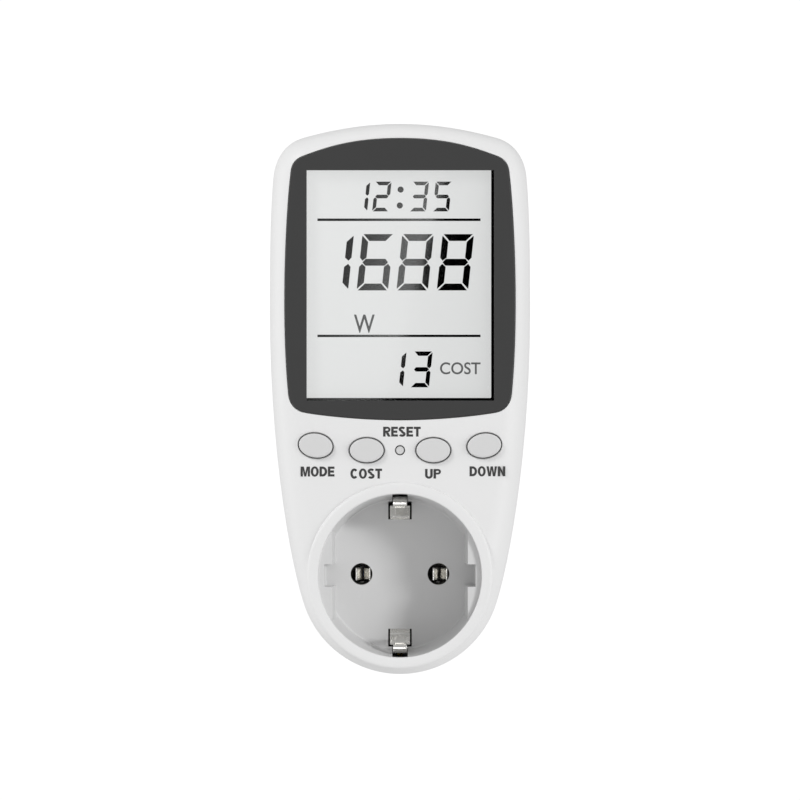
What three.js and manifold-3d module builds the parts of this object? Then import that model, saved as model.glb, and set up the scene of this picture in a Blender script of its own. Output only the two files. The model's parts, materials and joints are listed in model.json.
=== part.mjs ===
// A plug-in power meter: a wall plug at the back, a socket at the front and a display above the socket.
// Millimetres. X is to the right, Y runs from the front to the back, Z is up.
// The origin is the centre of the plug's end face, on the axis that the plug and the socket share.
import * as THREE from "three";
import { mergeVertices } from "three/addons/utils/BufferGeometryUtils.js";
import Module from "manifold-3d";

const wasm = await Module();
wasm.setup();

// ---- Driving dimensions ----

// Casing
const bodyWidth = 63.9;
const bodyTop = 110.8; // from the socket's axis to the top
const faceToBack = 31; // depth of the display part
const drumDepth = 8; // the round base behind the socket, from the display part's back to the wall
const drumMargin = 1.35; // from the ring's radius to the round base's
const wall = 2.2;
const frontRounding = 6;
const backRounding = 4;
const splitDepth = 17; // from the face to the joint between the two shells
const jointGap = 0.3;
const jointLip = 1.1; // the lip inside the joint: its thickness and its height
const lipHeight = 2;

// Socket at the front
const recessDepth = 17.5;
const mouthRadius = 20;
const recessDraft = 1.4; // how much narrower the recess is at its floor
const floorThickness = 2.5;
const ringWidth = 2.85;
const ringProud = 1;
const ringShoulder = 0.65; // how much narrower the cup is behind its ring
const ringLength = 6;
const baseMargin = 1.95; // from the ring to the casing's outline below it
const flatInset = 3.4; // from the mouth's edge to the recess's flat sides
const ledgeDepth = 1.4;
const keyHeight = 5.5; // the key way in the middle of each flat side
const keyInset = 1.5; // from the mouth's edge to the bottom of the key way
const pinSpacing = 19;
const holeRadius = 2.7;
const earthSlotWidth = 5.8;
const earthSlotInset = 6.5; // from the mouth's edge to the near end of the earth contact's slot
const earthStripWidth = 4.9;
const stripThickness = 0.6;
const sleeveBore = 2.3;
const sleeveWall = 1;
const holderWall = 1.1;
const holderLength = 9;
const retainerThickness = 2.8;
const retainerInset = 2.5; // from the mouth's radius to the retainer's

// Plug at the back
const plugReach = 17.5;
const plugPlay = 1.8; // how much smaller than the recess's mouth the plug is
const plugFlatPlay = 0.5;
const plugKeyPlay = 0.7;
const plugEndThickness = 2.8;
const pinRadius = 2.4;
const pinCollar = 1; // how far the collar that stops each pin stands out round it
const pinCollarLength = 2.9;
const pinTail = 5;
const hollowMargin = 0.9; // between the nose's inside and the pieces in it
const pinLength = 19;
const earthHoleOffset = 10;
const earthHoleRadius = 2.6;
const clipWidth = 5.2;
const clipThickness = 0.7;
const earthSleeveLength = 11;

// Display
const bodyBorder = 3.75; // the casing that shows around the bezel
const bezelSide = 5;
const bezelTop = 7.1;
const bezelBottom = 4.7;
const bezelThickness = 1;
const bezelSunk = 0.1; // behind the casing's face
const buttonBand = 20; // from the ring to the window
const lensProud = 0.2; // behind the casing's inner face, so that the holder presses on the lens
const lensMargin = 0.5;
const panelThickness = 2.6;
const panelMargin = 1.4;
const holderRim = 1;
const holderLip = 0.8;
const holderRightEdge = 1.1; // how far the black holder shows inside the window on the right
const holderBottomEdge = 0.7; // and along the bottom
const zebraHeight = 2;
const boardThickness = 1.6;

// Buttons
const buttonWidth = 8.3;
const buttonHeight = 5.9;
const buttonGap = 0.25;
const buttonProud = 1.4;
const buttonTravel = 0.5;
const buttonFlange = 0.9;
const buttonTilt = 8; // degrees, on the two outer buttons
const innerButtonX = 8.15;
const outerButtonInset = 9.8; // from the casing's side to the outer button's middle
const innerButtonRise = 7.85; // from the ring to the button's middle
const outerButtonRise = 9;
const resetRadius = 1;
const resetSunk = 0.4;
const switchSize = 6;
const switchHeight = 3.5;
const plungerRadius = 1.75;
const plungerProud = 1;

// Fasteners
const bossRadius = 2.4;
const screwRadius = 1.15;
const screwHeadRadius = 2.2;
const screwHeadHeight = 1.6;
const topScrewX = 14;
const topScrewDrop = 5.6; // from the casing's top
const lowScrewRise = 2.4; // from the ring
const boardBossRadius = 1.7;
const boardScrewRadius = 0.8;
const boardScrewHeadRadius = 1.4;
const boardScrewDrop = 14; // from the holder's top
const boardRestRadius = 1.6;
const caseScrewLength = 12;
const screwSeatDepth = 3; // from the joint between the shells to a case screw's head
const wireRadius = 0.95;
const thinWireRadius = 0.6;

// Clearances
const fit = 0.2; // round a piece that slides in
const contactGap = 0.1; // between faces that meet
const cutGap = 0.3; // round a piece that another is cut away from

// ---- Places that follow from them ----

const ringRadius = mouthRadius + ringWidth;
const cupRadius = ringRadius - ringShoulder;
const baseRadius = ringRadius + baseMargin;
const drumRadius = ringRadius + drumMargin;
const floorRadius = mouthRadius - recessDraft;
const flatHalfWidth = mouthRadius - flatInset;
const keyHalfWidth = mouthRadius - keyInset;
const earthSlotInner = mouthRadius - earthSlotInset;
const plugRadius = mouthRadius - plugPlay;
const plugFlatHalfWidth = flatHalfWidth - plugFlatPlay;
const plugKeyHeight = keyHeight - plugKeyPlay;
const halfWidth = bodyWidth / 2;
const wallFace = -plugReach; // the casing's back, which meets the wall outlet
const slabBack = wallFace - drumDepth;
const face = slabBack - faceToBack;
const ringFace = face - ringProud;
const split = face + splitDepth;
const recessFloor = ringFace + recessDepth;
const floorBack = recessFloor + floorThickness;
const faceInside = face + wall;
const slabInside = slabBack - wall;
const drumInside = wallFace - wall;
const screwSeat = split + screwSeatDepth;
const pinX = pinSpacing / 2;
const earthSleeveRadius = earthHoleRadius + 0.5;
const plugHollowRadius =
  Math.max(pinX + pinRadius + pinCollar, earthHoleOffset + earthSleeveRadius) + hollowMargin;
const bezelPocket = bezelSunk + bezelThickness + contactGap;

const windowHalf = halfWidth - bodyBorder - bezelSide;
const windowTop = bodyTop - bodyBorder - bezelTop;
const windowBottom = ringRadius + buttonBand;
const lensFront = face + bezelPocket;
const lensBack = faceInside + lensProud;
const holderFront = lensBack + contactGap;
const panelFront = holderFront + holderLip + contactGap;
const panelBack = panelFront + panelThickness;
const boardFront = panelBack + zebraHeight + contactGap;
const boardBack = boardFront + boardThickness;
const panelHalf = windowHalf + panelMargin;
const panelTop = windowTop + panelMargin;
const panelBottom = windowBottom - panelMargin;
const powerBoardFront = slabInside - 3.3;

// ---- Solids ----

// A manifold-3d solid from a three.js geometry, with its faces pointing out.
function solid(geometry) {
  const bare = geometry.index ? geometry.toNonIndexed() : geometry.clone();
  bare.deleteAttribute("normal");
  bare.deleteAttribute("uv");
  const merged = mergeVertices(bare, 1e-4);
  const vertProperties = merged.attributes.position.array;
  const triVerts = new Uint32Array(merged.index.array);
  const made = new wasm.Manifold(new wasm.Mesh({ numProp: 3, vertProperties, triVerts }));
  if (made.volume() > 0) return made;
  for (let i = 0; i < triVerts.length; i += 3) {
    [triVerts[i + 1], triVerts[i + 2]] = [triVerts[i + 2], triVerts[i + 1]];
  }
  return new wasm.Manifold(new wasm.Mesh({ numProp: 3, vertProperties, triVerts }));
}

// The three.js geometry of a solid, with flat shading.
function geometryOf(made) {
  const mesh = made.getMesh();
  const positions = new Float32Array(mesh.numVert * 3);
  for (let i = 0; i < mesh.numVert; i++) {
    for (let k = 0; k < 3; k++) positions[3 * i + k] = mesh.vertProperties[i * mesh.numProp + k];
  }
  const indexed = new THREE.BufferGeometry();
  indexed.setAttribute("position", new THREE.BufferAttribute(positions, 3));
  indexed.setIndex(new THREE.BufferAttribute(mesh.triVerts, 1));
  const flat = indexed.toNonIndexed();
  flat.computeVertexNormals();
  return flat;
}

function joined(first, ...others) {
  return others.reduce((sum, other) => sum.add(other), first);
}

function cut(first, ...others) {
  return others.reduce((rest, other) => rest.subtract(other), first);
}

// A block between two opposite corners.
function block(x0, x1, y0, y1, z0, z1) {
  const geometry = new THREE.BoxGeometry(x1 - x0, y1 - y0, z1 - z0);
  return solid(geometry.translate((x0 + x1) / 2, (y0 + y1) / 2, (z0 + z1) / 2));
}

// A shape drawn in X and Z, extruded from front to back.
function plate(shape, front, back, curveSegments = 12) {
  const options = { depth: back - front, bevelEnabled: false, curveSegments };
  const geometry = new THREE.ExtrudeGeometry(shape, options);
  return solid(geometry.rotateX(Math.PI / 2).translate(0, back, 0));
}

// A shape drawn in Y and Z, extruded to a width that is centred on x.
function profile(shape, width, x = 0) {
  const geometry = new THREE.ExtrudeGeometry(shape, { depth: width, bevelEnabled: false, curveSegments: 6 });
  const turn = new THREE.Matrix4().makeBasis(
    new THREE.Vector3(0, 1, 0),
    new THREE.Vector3(0, 0, 1),
    new THREE.Vector3(1, 0, 0),
  );
  return solid(geometry.translate(0, 0, -width / 2).applyMatrix4(turn).translate(x, 0, 0));
}

// A profile of [radius, y] points turned about an axis along Y.
function turned(points, x = 0, z = 0, segments = 20) {
  const outline = points.map(([radius, y]) => new THREE.Vector2(radius, y));
  return solid(new THREE.LatheGeometry(outline, segments).translate(x, 0, z));
}

function rod(radius, front, back, x = 0, z = 0, segments = 20) {
  return turned([[0, front], [radius, front], [radius, back], [0, back]], x, z, segments);
}

function tube(outer, inner, front, back, x = 0, z = 0, segments = 20) {
  const walls = [[inner, front], [outer, front], [outer, back], [inner, back], [inner, front]];
  return turned(walls, x, z, segments);
}

function ellipse(halfX, halfZ, x = 0, z = 0, tiltDegrees = 0) {
  const shape = new THREE.Shape();
  shape.absellipse(x, z, halfX, halfZ, 0, 2 * Math.PI, false, THREE.MathUtils.degToRad(tiltDegrees));
  return shape;
}

function rectangle(x0, x1, z0, z1, corner = 0) {
  const shape = new THREE.Shape();
  shape.moveTo(x0 + corner, z0);
  shape.lineTo(x1 - corner, z0);
  if (corner) shape.absarc(x1 - corner, z0 + corner, corner, -Math.PI / 2, 0);
  shape.lineTo(x1, z1 - corner);
  if (corner) shape.absarc(x1 - corner, z1 - corner, corner, 0, Math.PI / 2);
  shape.lineTo(x0 + corner, z1);
  if (corner) shape.absarc(x0 + corner, z1 - corner, corner, Math.PI / 2, Math.PI);
  shape.lineTo(x0, z0 + corner);
  if (corner) shape.absarc(x0 + corner, z0 + corner, corner, Math.PI, 1.5 * Math.PI);
  return shape;
}

// The outline of a strip of even thickness that follows a bent line of [y, z] points.
function strip(points, thickness) {
  const line = points.map(([y, z]) => new THREE.Vector2(y, z));
  const sides = line.map((point, i) => {
    const before = line[Math.max(i - 1, 0)];
    const after = line[Math.min(i + 1, line.length - 1)];
    const incoming = (i ? point.clone().sub(before) : after.clone().sub(point)).normalize();
    const outgoing = (i < line.length - 1 ? after.clone().sub(point) : incoming.clone()).normalize();
    const along = incoming.clone().add(outgoing).normalize();
    const miter = thickness / 2 / Math.max(along.dot(incoming), 0.4);
    return new THREE.Vector2(-along.y, along.x).multiplyScalar(miter);
  });
  const left = line.map((point, i) => point.clone().add(sides[i]));
  const right = line.map((point, i) => point.clone().sub(sides[i]));
  return new THREE.Shape([...left, ...right.reverse()]);
}

// A round wire along a smooth line through the points.
function wire(points, radius, steps = 14) {
  const line = new THREE.CatmullRomCurve3(points.map((point) => new THREE.Vector3(...point)));
  const section = new THREE.Shape();
  section.absarc(0, 0, radius, 0, 2 * Math.PI);
  const options = { extrudePath: line, steps, curveSegments: 3, bevelEnabled: false };
  return solid(new THREE.ExtrudeGeometry(section, options));
}

// ---- Outlines ----

// Right half of the casing's outline seen from the front, from the bottom to the top.
function casingHalf() {
  const leave = THREE.MathUtils.degToRad(-20); // where the base's arc ends
  const centreZ = 0.5;
  const baseEnd = [baseRadius * Math.cos(leave), centreZ + baseRadius * Math.sin(leave)];
  const rise = [-Math.sin(leave), Math.cos(leave)];
  const widestZ = bodyTop - 45.8;
  const shoulder = [halfWidth - 0.85, bodyTop - 13.3];
  const corner = [halfWidth - 7.95, bodyTop - 3.5];
  const topDrop = bodyTop - corner[1];
  const topRadius = (corner[0] ** 2 + topDrop ** 2) / (2 * topDrop);
  const topAngle = Math.asin(corner[0] / topRadius);
  const path = new THREE.Path();
  path.absarc(0, centreZ, baseRadius, -Math.PI / 2, leave);
  path.bezierCurveTo(
    baseEnd[0] + 8.5 * rise[0], baseEnd[1] + 8.5 * rise[1], halfWidth, widestZ - 37, halfWidth, widestZ,
  );
  path.bezierCurveTo(halfWidth, widestZ + 15, shoulder[0] + 0.7, shoulder[1] - 8, ...shoulder);
  path.bezierCurveTo(
    shoulder[0] - 0.4,
    shoulder[1] + 4.6,
    corner[0] + 4.6 * Math.cos(topAngle),
    corner[1] - 4.6 * Math.sin(topAngle),
    ...corner,
  );
  path.absarc(0, bodyTop - topRadius, topRadius, Math.PI / 2 - topAngle, Math.PI / 2);
  return path;
}

// Right half of the bezel's outline, from the bottom to the top.
function bezelHalf() {
  const side = windowHalf + bezelSide;
  const top = windowTop + bezelTop;
  const bottom = windowBottom - bezelBottom;
  const path = new THREE.Path();
  path.moveTo(0, bottom);
  path.bezierCurveTo(10, bottom, side - 8, bottom + 1.2, side - 4.6, bottom + 1.9);
  path.bezierCurveTo(side - 2.4, bottom + 2.4, side - 1.2, bottom + 4.2, side - 0.95, bottom + 6.2);
  path.bezierCurveTo(side - 0.2, bottom + 14, side, bottom + 22, side, bottom + 29);
  path.bezierCurveTo(side, bottom + 40, side - 0.5, top - 16, side - 1.3, top - 8);
  path.bezierCurveTo(side - 1.6, top - 5.6, side - 2.8, top - 4.7, side - 4.6, top - 4);
  path.bezierCurveTo(side - 12, top - 1.2, 10, top, 0, top);
  return path;
}

// A closed ring of points from a half outline, moved inwards by inset.
function outline(half, inset = 0) {
  const points = half.getPoints(4).filter((point, i, all) => !i || point.distanceTo(all[i - 1]) > 0.01);
  const last = points.length - 1;
  const acrossFrom = (point) => new THREE.Vector2(-point.x, point.y);
  const right = points.map((point, i) => {
    const before = points[i - 1] ?? acrossFrom(points[1]);
    const after = points[i + 1] ?? acrossFrom(points[last - 1]);
    const arriving = point.clone().sub(before).normalize();
    const along = after.clone().sub(point).normalize().add(arriving).normalize();
    return new THREE.Vector2(point.x - along.y * inset, point.y + along.x * inset);
  });
  right[0].x = 0;
  right[last].x = 0;
  const left = right.slice(1, last).reverse().map(acrossFrom);
  return [...right, ...left];
}

// A solid through rings of the same outline: each layer is [y, inset], from the front to the back.
function loft(half, layers) {
  const rings = layers.map(([y, inset]) => outline(half, inset).map((point) => [point.x, y, point.y]));
  const size = rings[0].length;
  const last = rings.length - 1;
  const capCentre = (ring) => [0, ring[0][1], (ring[0][2] + ring[size / 2][2]) / 2];
  const points = [...rings.flat(), capCentre(rings[0]), capCentre(rings[last])];
  const faces = [];
  for (let i = 0; i < size; i++) {
    const next = (i + 1) % size;
    faces.push(points.length - 2, i, next);
    faces.push(points.length - 1, last * size + next, last * size + i);
    for (let k = 0; k < last; k++) {
      const a = k * size;
      const b = a + size;
      faces.push(a + i, b + i, b + next, a + i, b + next, a + next);
    }
  }
  const geometry = new THREE.BufferGeometry();
  geometry.setAttribute("position", new THREE.BufferAttribute(new Float32Array(points.flat()), 3));
  geometry.setIndex(faces);
  return solid(geometry);
}

// Layers for an edge that rounds over from a flat end to a side, [y, inset] from the end inwards.
function rounding(end, direction, depth, reach, sideInset, steps) {
  const layers = [];
  for (let i = 0; i <= steps; i++) {
    const turn = (Math.PI / 2) * (i / steps);
    layers.push([end + direction * depth * (1 - Math.cos(turn)), sideInset + reach * (1 - Math.sin(turn))]);
  }
  return layers;
}

const casing = casingHalf();
const bezelOutline = bezelHalf();

// Half the casing's width at a height.
function casingHalfWidthAt(z) {
  const points = casing.getSpacedPoints(200);
  return points.reduce((best, point) => (Math.abs(point.y - z) < Math.abs(best.y - z) ? point : best)).x;
}

// ---- Places of fasteners, buttons and boards ----

const topScrewZ = bodyTop - topScrewDrop;
const lowScrewZ = ringRadius + lowScrewRise;
const lowScrewX = casingHalfWidthAt(lowScrewZ) - wall - bossRadius + 0.4;
const caseScrewPlaces = [
  [-topScrewX, topScrewZ],
  [topScrewX, topScrewZ],
  [-lowScrewX, lowScrewZ],
  [lowScrewX, lowScrewZ],
];
const holderHalf = panelHalf + holderRim;
const holderTop = panelTop + holderRim;
const holderBottom = panelBottom - holderRim;
const boardBossX = holderHalf + boardBossRadius + 0.15;
const boardScrewPlaces = [
  [-boardBossX, holderTop - boardScrewDrop],
  [boardBossX, holderTop - boardScrewDrop],
  [0, holderBottom - boardBossRadius - 1.4],
];

const outerButtonZ = ringRadius + outerButtonRise;
const outerButtonX = casingHalfWidthAt(outerButtonZ) - outerButtonInset;
const innerButtonZ = ringRadius + innerButtonRise;
const ovalButtons = [
  { name: "mode", x: -outerButtonX, z: outerButtonZ, tilt: -buttonTilt },
  { name: "cost", x: -innerButtonX, z: innerButtonZ, tilt: 0 },
  { name: "up", x: innerButtonX, z: innerButtonZ, tilt: 0 },
  { name: "down", x: outerButtonX, z: outerButtonZ, tilt: buttonTilt },
];
const resetButton = { name: "reset", x: 0, z: innerButtonZ };
const capBack = faceInside + contactGap; // where a cap's flange meets the casing
const switchFront = boardFront - switchHeight;
const capFoot = switchFront - plungerProud - 0.05;

const boardLow = ringRadius + 3;
const boardHalf = boardBossX + 0.9;
const powerBoardLow = ringRadius + 6;
const powerBoardTop = bodyTop - 12;
const powerBoardHalf = windowHalf + 2;
const boardRestX = powerBoardHalf - 3;
const boardRestPlaces = [
  [-boardRestX, powerBoardLow + 14],
  [boardRestX, powerBoardLow + 14],
  [-boardRestX, powerBoardTop - 6],
  [boardRestX, powerBoardTop - 6],
];

const sleeveRadius = sleeveBore + sleeveWall;
const holderEnd = floorBack + holderLength;
const sleeveFront = floorBack + fit;
const sleeveEnd = holderEnd + 1.2;
const retainerRadius = mouthRadius - retainerInset;
const retainerBack = holderEnd + retainerThickness + fit;
const pegX = 12.5;
const pegZ = -9.5;
const strapFront = floorBack + contactGap;
const strapBack = strapFront + 1;
const contactFoot = earthSlotInner + 3.2;
const clipBed = plugRadius - 2.3; // the bottom of each earth clip's channel, from the axis
const clipRoot = wallFace + 2.4; // where a clip turns in through the nose
const bracketFront = clipRoot - 1.15;

// ---- Materials ----

function material(color, roughness, metalness = 0) {
  return new THREE.MeshStandardMaterial({ color, roughness, metalness });
}

const whitePlastic = material(0xe8e8e8, 0.5);
const buttonPlastic = material(0xd7d7d7, 0.45);
const bezelPlastic = material(0x444444, 0.4);
const blackPlastic = material(0x0a0a0a, 0.5);
const clearPlastic = material(0xffffff, 0.05);
clearPlastic.transparent = true;
clearPlastic.opacity = 0.2;
const displayGlass = material(0xe2e2e2, 0.25);
const siliconeRubber = material(0xc8c8cc, 0.7);
const boardLaminate = material(0x1f5a34, 0.55);
const nickel = material(0xc9c7c2, 0.25, 1);
const manganin = material(0xb98f5a, 0.35, 1);
const steel = material(0x8f9296, 0.35, 1);
const chipPlastic = material(0x1b1b1d, 0.5);
const yellowPlastic = material(0xd9b64a, 0.5);
const greenWrap = material(0x2f7d46, 0.5);
const blueCoating = material(0x27508f, 0.45);
const blackSleeve = material(0x15171c, 0.4);
const brownInsulation = material(0x5b3421, 0.55);
const blueInsulation = material(0x2a5ea8, 0.55);
const greenInsulation = material(0x3f8f3c, 0.55);

const meter = new THREE.Group();

function add(name, made, finish) {
  const mesh = new THREE.Mesh(geometryOf(made), finish);
  mesh.name = name;
  meter.add(mesh);
}

// ---- Casing ----

function oval(x, z, tilt, grow) {
  return ellipse(buttonWidth / 2 + grow, buttonHeight / 2 + grow, x, z, tilt);
}

function frontShell() {
  const sideInset = 0.4;
  const outer = loft(casing, [
    ...rounding(face, 1, frontRounding + 1, frontRounding, sideInset, 5),
    [split - jointGap / 2, 0],
  ]);
  const hollow = loft(casing, [
    ...rounding(faceInside, 1, frontRounding - 0.5, frontRounding - 1.2, sideInset + wall, 3),
    [split + 1, wall],
  ]);
  const bossFoot = faceInside - 0.5;
  const bosses = joined(
    ...caseScrewPlaces.map(([x, z]) => rod(bossRadius, bossFoot, split - 0.1, x, z, 14)),
    ...boardScrewPlaces.map(([x, z]) => rod(boardBossRadius, bossFoot, boardFront - contactGap, x, z, 12)),
  );
  const shell = joined(cut(outer, hollow), bosses.intersect(outer));
  const lensHalf = windowHalf + lensMargin + fit;
  const lensBottom = windowBottom - lensMargin - fit;
  const lensTop = windowTop + lensMargin + fit;
  const room = cutGap / 2;
  return cut(
    shell,
    plate(new THREE.Shape(outline(bezelOutline, -room)), face - 1, face + bezelPocket),
    block(-lensHalf, lensHalf, face, faceInside + 1, lensBottom, lensTop),
    block(-holderHalf - room, holderHalf + room, faceInside, split, holderBottom - room, holderTop + room),
    rod(ringRadius + fit, ringFace - 1, ringFace + ringLength + fit, 0, 0, 48),
    rod(cupRadius + fit, ringFace, split + 1, 0, 0, 48),
    ...ovalButtons.flatMap(({ x, z, tilt }) => [
      plate(oval(x, z, tilt, buttonGap), face - 1, faceInside + 1),
      plate(oval(x, z, tilt, buttonFlange + cutGap), faceInside, boardFront),
    ]),
    rod(resetRadius + buttonGap, face - 1, faceInside + 1, resetButton.x, resetButton.z, 16),
    ...caseScrewPlaces.map(([x, z]) => rod(screwRadius + 0.1, faceInside + 3, split + 1, x, z, 12)),
    ...boardScrewPlaces.flatMap(([x, z]) => [
      rod(boardScrewRadius + 0.1, boardFront - 4.2, boardFront, x, z, 12),
      rod(boardScrewHeadRadius + cutGap, boardBack - cutGap, split, x, z, 12),
    ]),
  );
}

function rearShell() {
  const front = split + jointGap / 2;
  const backEdge = rounding(slabBack, -1, backRounding, backRounding, 0, 3).reverse();
  const slab = loft(casing, [[front, 0], ...backEdge]);
  const drum = turned([
    [0, split + 1], [drumRadius, split + 1], [drumRadius, wallFace - 1.6],
    [drumRadius - 0.5, wallFace - 0.5], [drumRadius - 1.6, wallFace], [0, wallFace],
  ], 0, 0, 48);
  const hollow = joined(
    loft(casing, [
      [split - 1, wall],
      ...rounding(slabInside, -1, backRounding - 1, backRounding - 1.2, wall, 2).reverse(),
    ]),
    rod(drumRadius - wall, split, drumInside, 0, 0, 40),
    rod(plugHollowRadius, drumInside - 1, -plugEndThickness, 0, 0, 32),
    rod(cupRadius + fit, split, floorBack + fit, 0, 0, 48),
  );
  const posts = caseScrewPlaces.map(([x, z]) => rod(bossRadius + 0.9, front, slabBack - 0.5, x, z, 14));
  const rests = boardRestPlaces.map(([x, z]) =>
    rod(boardRestRadius, powerBoardFront + boardThickness + contactGap, slabInside + 0.5, x, z, 10));
  const pegs = [-pegX, pegX].map((x) => rod(1.4, retainerBack + contactGap, drumInside + 0.5, x, pegZ, 10));
  const wells = caseScrewPlaces.flatMap(([x, z]) => [
    rod(screwHeadRadius + 0.35, screwSeat, slabBack + 1, x, z, 16),
    rod(screwRadius + fit, split - 1, screwSeat + 1, x, z, 12),
  ]);
  const body = cut(joined(slab, drum, plugBody()), hollow);
  const inside = joined(jointLipRing(), joined(...posts).intersect(slab), ...rests, ...pegs);
  return cut(joined(body, inside), ...wells, ...plugOpenings());
}

// The lip that stands inside the front shell, with the step that joins it to the rear shell's wall.
function jointLipRing() {
  const outside = wall + fit;
  const inside = outside + jointLip;
  const step = split + jointGap;
  const front = split - lipHeight;
  return cut(
    loft(casing, [[front, outside], [step, outside], [step, wall - 0.5], [split + 3, wall - 0.5]]),
    loft(casing, [[front - 1, inside], [split + 4, inside]]),
    rod(ringRadius + 0.6, front - 1, split + 4, 0, 0, 40),
    ...caseScrewPlaces.map(([x, z]) => rod(bossRadius + cutGap, front - 1, split + jointGap / 2, x, z, 14)),
    ...boardScrewPlaces.map(([x, z]) => rod(boardBossRadius + 2 * cutGap, front - 1, split + 4, x, z, 12)),
  );
}

// ---- Plug ----

// The plug's round nose, with a flat on each side and a key in the middle of each flat.
function plugBody() {
  const nose = turned([
    [0, wallFace - 1], [plugRadius, wallFace - 1], [plugRadius - 0.1, -1.2],
    [plugRadius - 0.45, -0.4], [plugRadius - 1.2, 0], [0, 0],
  ], 0, 0, 48);
  const beyond = plugRadius + 1;
  const key = plugKeyHeight / 2;
  const cheeks = mirrored(([low, high]) => cut(
    block(low, high, wallFace, 1, -beyond, beyond),
    block(-beyond, beyond, wallFace - 1, 2, -key, key),
  ), plugFlatHalfWidth, beyond);
  return cut(nose, ...cheeks);
}

// Both copies of a piece that spans from a to b on one side of the axis and from -b to -a on the other.
function mirrored(make, a, b) {
  return [make([a, b]), make([-b, -a])];
}

// What is cut from the nose: pin holes, the earth hole and the channels of the two earth clips.
function plugOpenings() {
  const half = clipWidth / 2 + cutGap;
  const end = -plugEndThickness - 1;
  return [
    ...mirrored((span) => block(-half, half, wallFace + 0.6, 1, ...span), clipBed, plugRadius + 1),
    ...mirrored((span) => block(-half, half, clipRoot - 1, clipRoot + 1, ...span),
      plugHollowRadius - 2, clipBed + 1),
    rod(pinRadius + contactGap, end, 1, -pinX),
    rod(pinRadius + contactGap, end, 1, pinX),
    rod(earthHoleRadius, end, 1, 0, earthHoleOffset),
  ];
}

function pin(x) {
  const collarBack = -plugEndThickness - contactGap;
  const collarFront = collarBack - pinCollarLength;
  return turned([
    [0, collarFront - pinTail], [1.5, collarFront - pinTail], [1.5, collarFront],
    [pinRadius + pinCollar, collarFront], [pinRadius + pinCollar, collarBack],
    [pinRadius, collarBack], [pinRadius, pinLength - 1.8],
    [pinRadius - 0.5, pinLength - 0.7], [pinRadius - 1.4, pinLength], [0, pinLength],
  ], x);
}

// An earth clip of the plug: a strip along its channel, turned in through the nose at its root.
function earthClip(side) {
  const shape = strip([
    [clipRoot, side * (plugHollowRadius - 1.5)],
    [clipRoot, side * (clipBed + 0.65)],
    [clipRoot + 4, side * (clipBed + 1.35)],
    [-5, side * (clipBed + 1.35)],
    [-0.6, side * (clipBed + 0.45)],
  ], clipThickness);
  return profile(shape, clipWidth);
}

function earthSleeve() {
  const back = -plugEndThickness - contactGap;
  const inner = earthHoleRadius - 0.1;
  return turned([
    [0, back - earthSleeveLength], [earthSleeveRadius, back - earthSleeveLength], [earthSleeveRadius, back],
    [inner, back], [inner, back - earthSleeveLength + 1], [0, back - earthSleeveLength + 1],
  ], 0, earthHoleOffset);
}

function addPlug() {
  add("live_pin", pin(pinX), nickel);
  add("neutral_pin", pin(-pinX), nickel);
  add("upper_earth_clip", earthClip(1), nickel);
  add("lower_earth_clip", earthClip(-1), nickel);
  add("earth_sleeve", earthSleeve(), nickel);
  const reach = plugHollowRadius - 0.6;
  add("earth_bracket", block(-1.8, 1.8, bracketFront, bracketFront + 0.7, -reach, reach), nickel);
}

// ---- Socket ----

// The cup: its ring, the recess with keyed flat sides, and two holders behind the floor.
function socketCup() {
  const outside = turned([
    [0, ringFace], [ringRadius - 1, ringFace], [ringRadius - 0.3, ringFace + 0.3],
    [ringRadius, ringFace + 1], [ringRadius, ringFace + ringLength],
    [cupRadius, ringFace + ringLength], [cupRadius, floorBack], [0, floorBack],
  ], 0, 0, 48);
  const recess = turned([
    [0, ringFace - 1], [mouthRadius + 0.5, ringFace - 1], [mouthRadius + 0.5, ringFace],
    [mouthRadius, ringFace + 0.6], [floorRadius, recessFloor], [0, recessFloor],
  ], 0, 0, 48);
  const beyond = mouthRadius + 1;
  const flats = mirrored((span) => block(...span, ringFace + ledgeDepth, floorBack, -beyond, beyond),
    flatHalfWidth, beyond);
  const keyWay = block(-keyHalfWidth, keyHalfWidth, ringFace, floorBack + 1, -keyHeight / 2, keyHeight / 2);
  const holders = [-pinX, pinX].map((x) =>
    tube(sleeveRadius + fit + holderWall, sleeveRadius + fit, floorBack - 0.5, holderEnd, x));
  const half = earthSlotWidth / 2;
  const slotFront = ringFace + 1.2;
  const slots = [
    ...mirrored((span) => block(-half, half, slotFront, floorBack + 1, ...span),
      earthSlotInner, mouthRadius - 0.5),
    ...mirrored((span) => block(-half + 1, half - 1, slotFront, floorBack + 1, ...span),
      earthSlotInner, mouthRadius + 1.2),
  ];
  const pinHoles = [-pinX, pinX].map((x) => rod(holeRadius, recessFloor - 1, floorBack + 1, x));
  const opening = cut(recess, ...flats.map((flat) => cut(flat, keyWay)));
  return cut(joined(cut(outside, opening), ...holders), ...slots, ...pinHoles);
}

// A contact sleeve with a slit across it, so that its two halves spring on to a pin.
function socketContact(x) {
  const sleeve = turned([
    [sleeveBore + 0.4, sleeveFront], [sleeveRadius, sleeveFront], [sleeveRadius, sleeveEnd],
    [0, sleeveEnd], [0, sleeveEnd - 1.2], [sleeveBore, sleeveEnd - 1.2],
    [sleeveBore, sleeveFront + 0.8], [sleeveBore + 0.4, sleeveFront],
  ], x);
  const beyond = sleeveRadius + 1;
  return cut(sleeve, block(x - 0.5, x + 0.5, sleeveFront - 1, sleeveEnd - 3, -beyond, beyond));
}

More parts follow.
